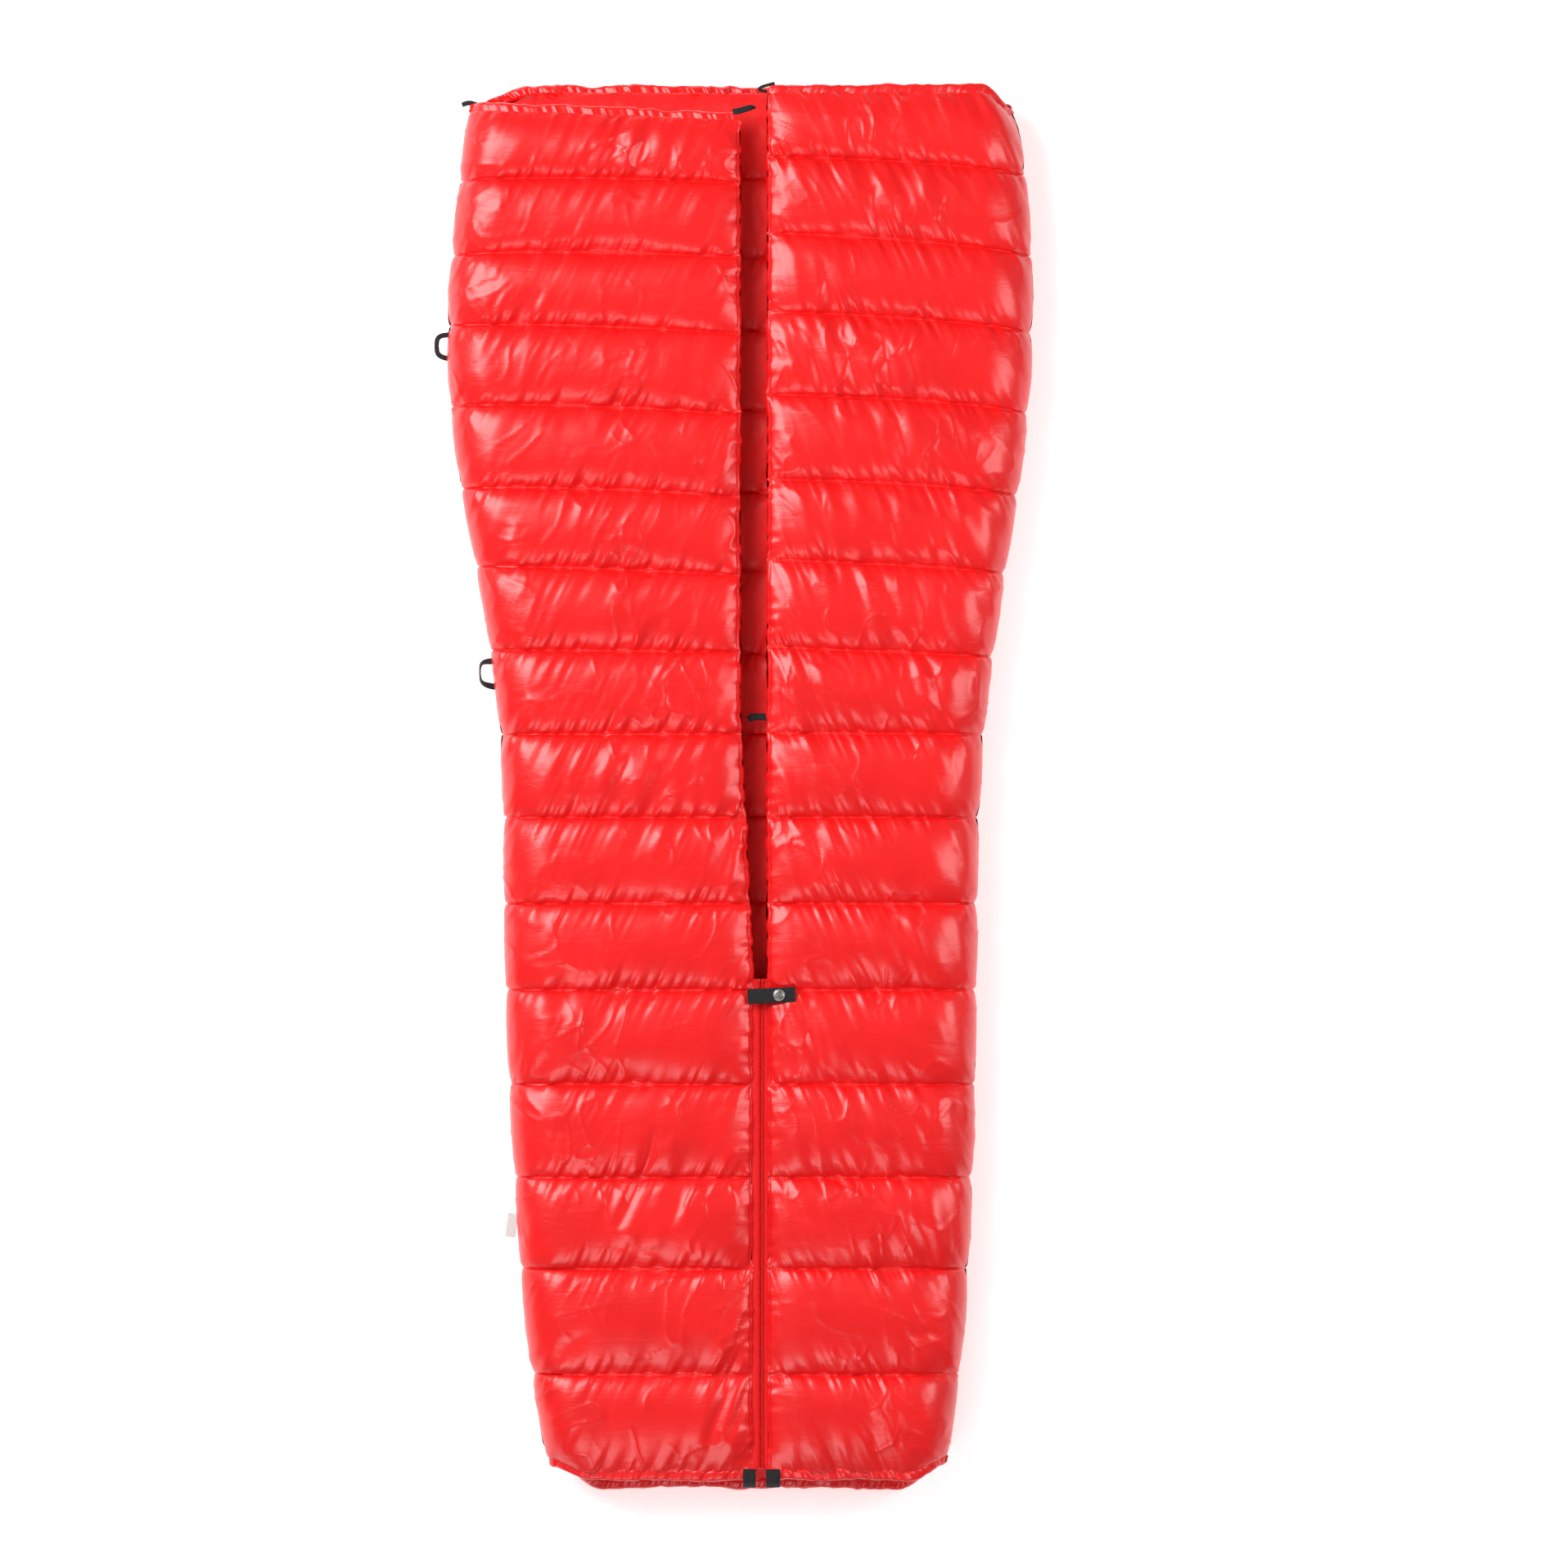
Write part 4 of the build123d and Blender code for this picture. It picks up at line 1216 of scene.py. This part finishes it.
def coil_of(node):
    """A wire coil with the length, width and height of a CAD coil."""
    low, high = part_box(node)
    wide, tall = high[0] - low[0], high[2] - low[2]
    bpy.ops.object.select_all(action="DESELECT")
    bpy.ops.mesh.primitive_torus_add(major_segments=10, minor_segments=4, minor_radius=WIRE_RADIUS,
                                     major_radius=wide / 2 - WIRE_RADIUS,
                                     rotation=(math.pi / 2, 0, 0))
    coil = bpy.context.object
    coil.name = coil.data.name = node + "_turns"
    coil.scale.y = (tall - 0.0004) / wide
    bpy.ops.object.transform_apply(location=True, rotation=True, scale=True)
    turns = coil.modifiers.new("turns", "ARRAY")
    turns.use_relative_offset = False
    turns.use_constant_offset = True
    turns.constant_offset_displace = (0, COIL_PITCH, 0)
    turns.count = int((high[1] - low[1]) / COIL_PITCH)
    bpy.ops.object.modifier_apply(modifier=turns.name)
    write_points(coil, read_points(coil) + ((low[0] + high[0]) / 2, low[1] + COIL_PITCH / 2,
                                            (low[2] + high[2]) / 2))
    bpy.ops.object.shade_smooth()
    coil.data.materials.append(red_nylon_wire)
    print(coil.name, len(coil.data.polygons), "faces")
    return coil


red_nylon_wire, nodes, links = new_finish("red_nylon_wire")
wire_shader = nodes["Principled BSDF"]
wire_shader.inputs["Roughness"].default_value = 0.35
where = add_node(nodes, "ShaderNodeTexCoord", (-900, 0))
scuff = add_node(nodes, "ShaderNodeTexNoise", (-650, 0), Scale=300.0, Detail=3.0)
links.new(where.outputs["Object"], scuff.inputs["Vector"])
links.new(two_colours(nodes, links, scuff.outputs["Fac"], (0.76, 0.003, 0.004), (0.90, 0.006, 0.007)),
          wire_shader.inputs["Base Color"])
bump_chain(nodes, links, wire_shader, [(scuff.outputs["Fac"], 0.00005, 0.4)])
for side_name in ("left", "right"):
    turns = coil_of(f"zip_coil_{side_name}")
    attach(turns, "quilt_base")
    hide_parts(f"zip_coil_{side_name}")

# %% Tapes and the draught flap
def tape_of(node, name, finish, wave, thick, over=0.0):
    """A strip in the place of a CAD tape, and this much wider under both its neighbours."""
    low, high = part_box(node)
    middle, level = (low[0] + high[0]) / 2, (low[2] + high[2]) / 2
    stations = np.linspace(high[1], low[1], 60)
    route = [(middle, y, level + wave * math.sin(170 * y + 2 * math.sin(37 * y))) for y in stations]
    tape = strip(name, route, high[0] - low[0] + over, thick, finish, order=3, step=0.004)
    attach(tape, "quilt_base")
    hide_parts(node)
    return tape


tape_of("zip_tape_left", "zip_tape_left_weave", red_tape, 0.0001, 0.0007, over=0.003)
tape_of("zip_tape_right", "zip_tape_right_weave", red_tape, 0.0001, 0.0007, over=0.003)
tape_of("zip_draft_flap", "draught_flap_cloth", lining_nylon_painted_lighter, 0.0012, 0.0014)

# %% [markdown]
# ## The snap strap
# A short strap of the same black webbing closes the top of the zip. Its left end is
# sewn down and its right end lifts, so the one strip bends between the two. On it sits
# the press stud's cap: a thin disc of plated brass with a rolled rim, its colour rubbed
# darker and lighter in patches, and plain on top.

# %% The strap
STRAP_LEVEL = 0.10375
strap = strip("snap_strap_webbing", [
    (0.0200, -0.2815, 0.1020), (0.0260, -0.2812, STRAP_LEVEL), (0.0420, -0.2806, STRAP_LEVEL),
    (0.0626, -0.2797, STRAP_LEVEL), (0.0760, -0.2789, STRAP_LEVEL), (0.0847, -0.2785, STRAP_LEVEL)],
    0.0205, 0.0015, black_webbing, columns=8)
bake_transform(strap)
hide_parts("snap_strap", "snap_strap_anchor")

# %% Metals
def metal(name, dark, light, roughness, metallic):
    """A finish whose colour and roughness vary in rubbed patches."""
    finish, nodes, links = new_finish(name)
    shader = nodes["Principled BSDF"]
    shader.inputs["Metallic"].default_value = metallic
    where = add_node(nodes, "ShaderNodeTexCoord", (-900, 0))
    rubbed = add_node(nodes, "ShaderNodeTexNoise", (-650, 0), Scale=260.0, Detail=5.0)
    links.new(where.outputs["Object"], rubbed.inputs["Vector"])
    links.new(two_colours(nodes, links, rubbed.outputs["Fac"], dark, light),
              shader.inputs["Base Color"])
    spread = add_node(nodes, "ShaderNodeMapRange", (-400, -200))
    spread.inputs["To Min"].default_value = roughness - 0.06
    spread.inputs["To Max"].default_value = roughness + 0.12
    links.new(rubbed.outputs["Fac"], spread.inputs["Value"])
    links.new(spread.outputs["Result"], shader.inputs["Roughness"])
    bump_chain(nodes, links, shader, [(rubbed.outputs["Fac"], 0.00004, 0.4)])
    return finish


antique_silver = metal("antique_silver", (0.34, 0.32, 0.30), (0.62, 0.60, 0.57), 0.3, 1.0)
red_enamel = metal("red_enamel", (0.55, 0.006, 0.008), (0.68, 0.010, 0.012), 0.34, 0.0)

# %% The press stud's cap
low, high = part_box("snap_cap")
cap_radius, cap_tall = (high[0] - low[0]) / 2, high[2] - low[2]
bpy.ops.object.select_all(action="DESELECT")
bpy.ops.mesh.primitive_cylinder_add(vertices=40, radius=cap_radius, depth=cap_tall,
                                    location=((low[0] + high[0]) / 2, (low[1] + high[1]) / 2,
                                              (low[2] + high[2]) / 2))
cap = bpy.context.object
cap.name = cap.data.name = "snap_cap_dome"
bpy.ops.object.transform_apply(location=True, rotation=True, scale=True)
bpy.ops.object.mode_set(mode="EDIT")
bpy.ops.mesh.select_all(action="DESELECT")
bpy.ops.object.mode_set(mode="OBJECT")
for face in cap.data.polygons:
    face.select = face.normal.z > 0.9
bpy.ops.object.mode_set(mode="EDIT")
bpy.ops.mesh.inset(thickness=cap_radius * 0.16, depth=-0.0004)
bpy.ops.mesh.inset(thickness=cap_radius * 0.08, depth=0.0003)
bpy.ops.mesh.inset(thickness=cap_radius * 0.35, depth=0.0002)
bpy.ops.object.mode_set(mode="OBJECT")
rim = cap.modifiers.new("rim", "BEVEL")
rim.width = 0.0006
rim.segments = 3
bpy.ops.object.modifier_apply(modifier=rim.name)
bpy.ops.object.shade_smooth_by_angle(angle=math.radians(40))
cap.data.materials.append(antique_silver)
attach(cap, "snap_strap")
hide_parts("snap_cap")

# %% Finishes for the parts that keep their CAD shape
patch_nylon = woven("stud_patch_nylon", (0.55, 0.004, 0.006), (0.75, 0.008, 0.010), 300, 0.5)
keeps = {
    "snap_socket": antique_silver, "snap_stud": antique_silver, "snap_stud_patch": patch_nylon,
    "zip_slider_body": red_enamel, "zip_pull": red_enamel, "zip_top_stops": red_enamel,
    "zip_bottom_stop": red_enamel,
}
for node, finish in keeps.items():
    mesh = frame["nodes"][node].data
    mesh.materials.clear()
    mesh.materials.append(finish)
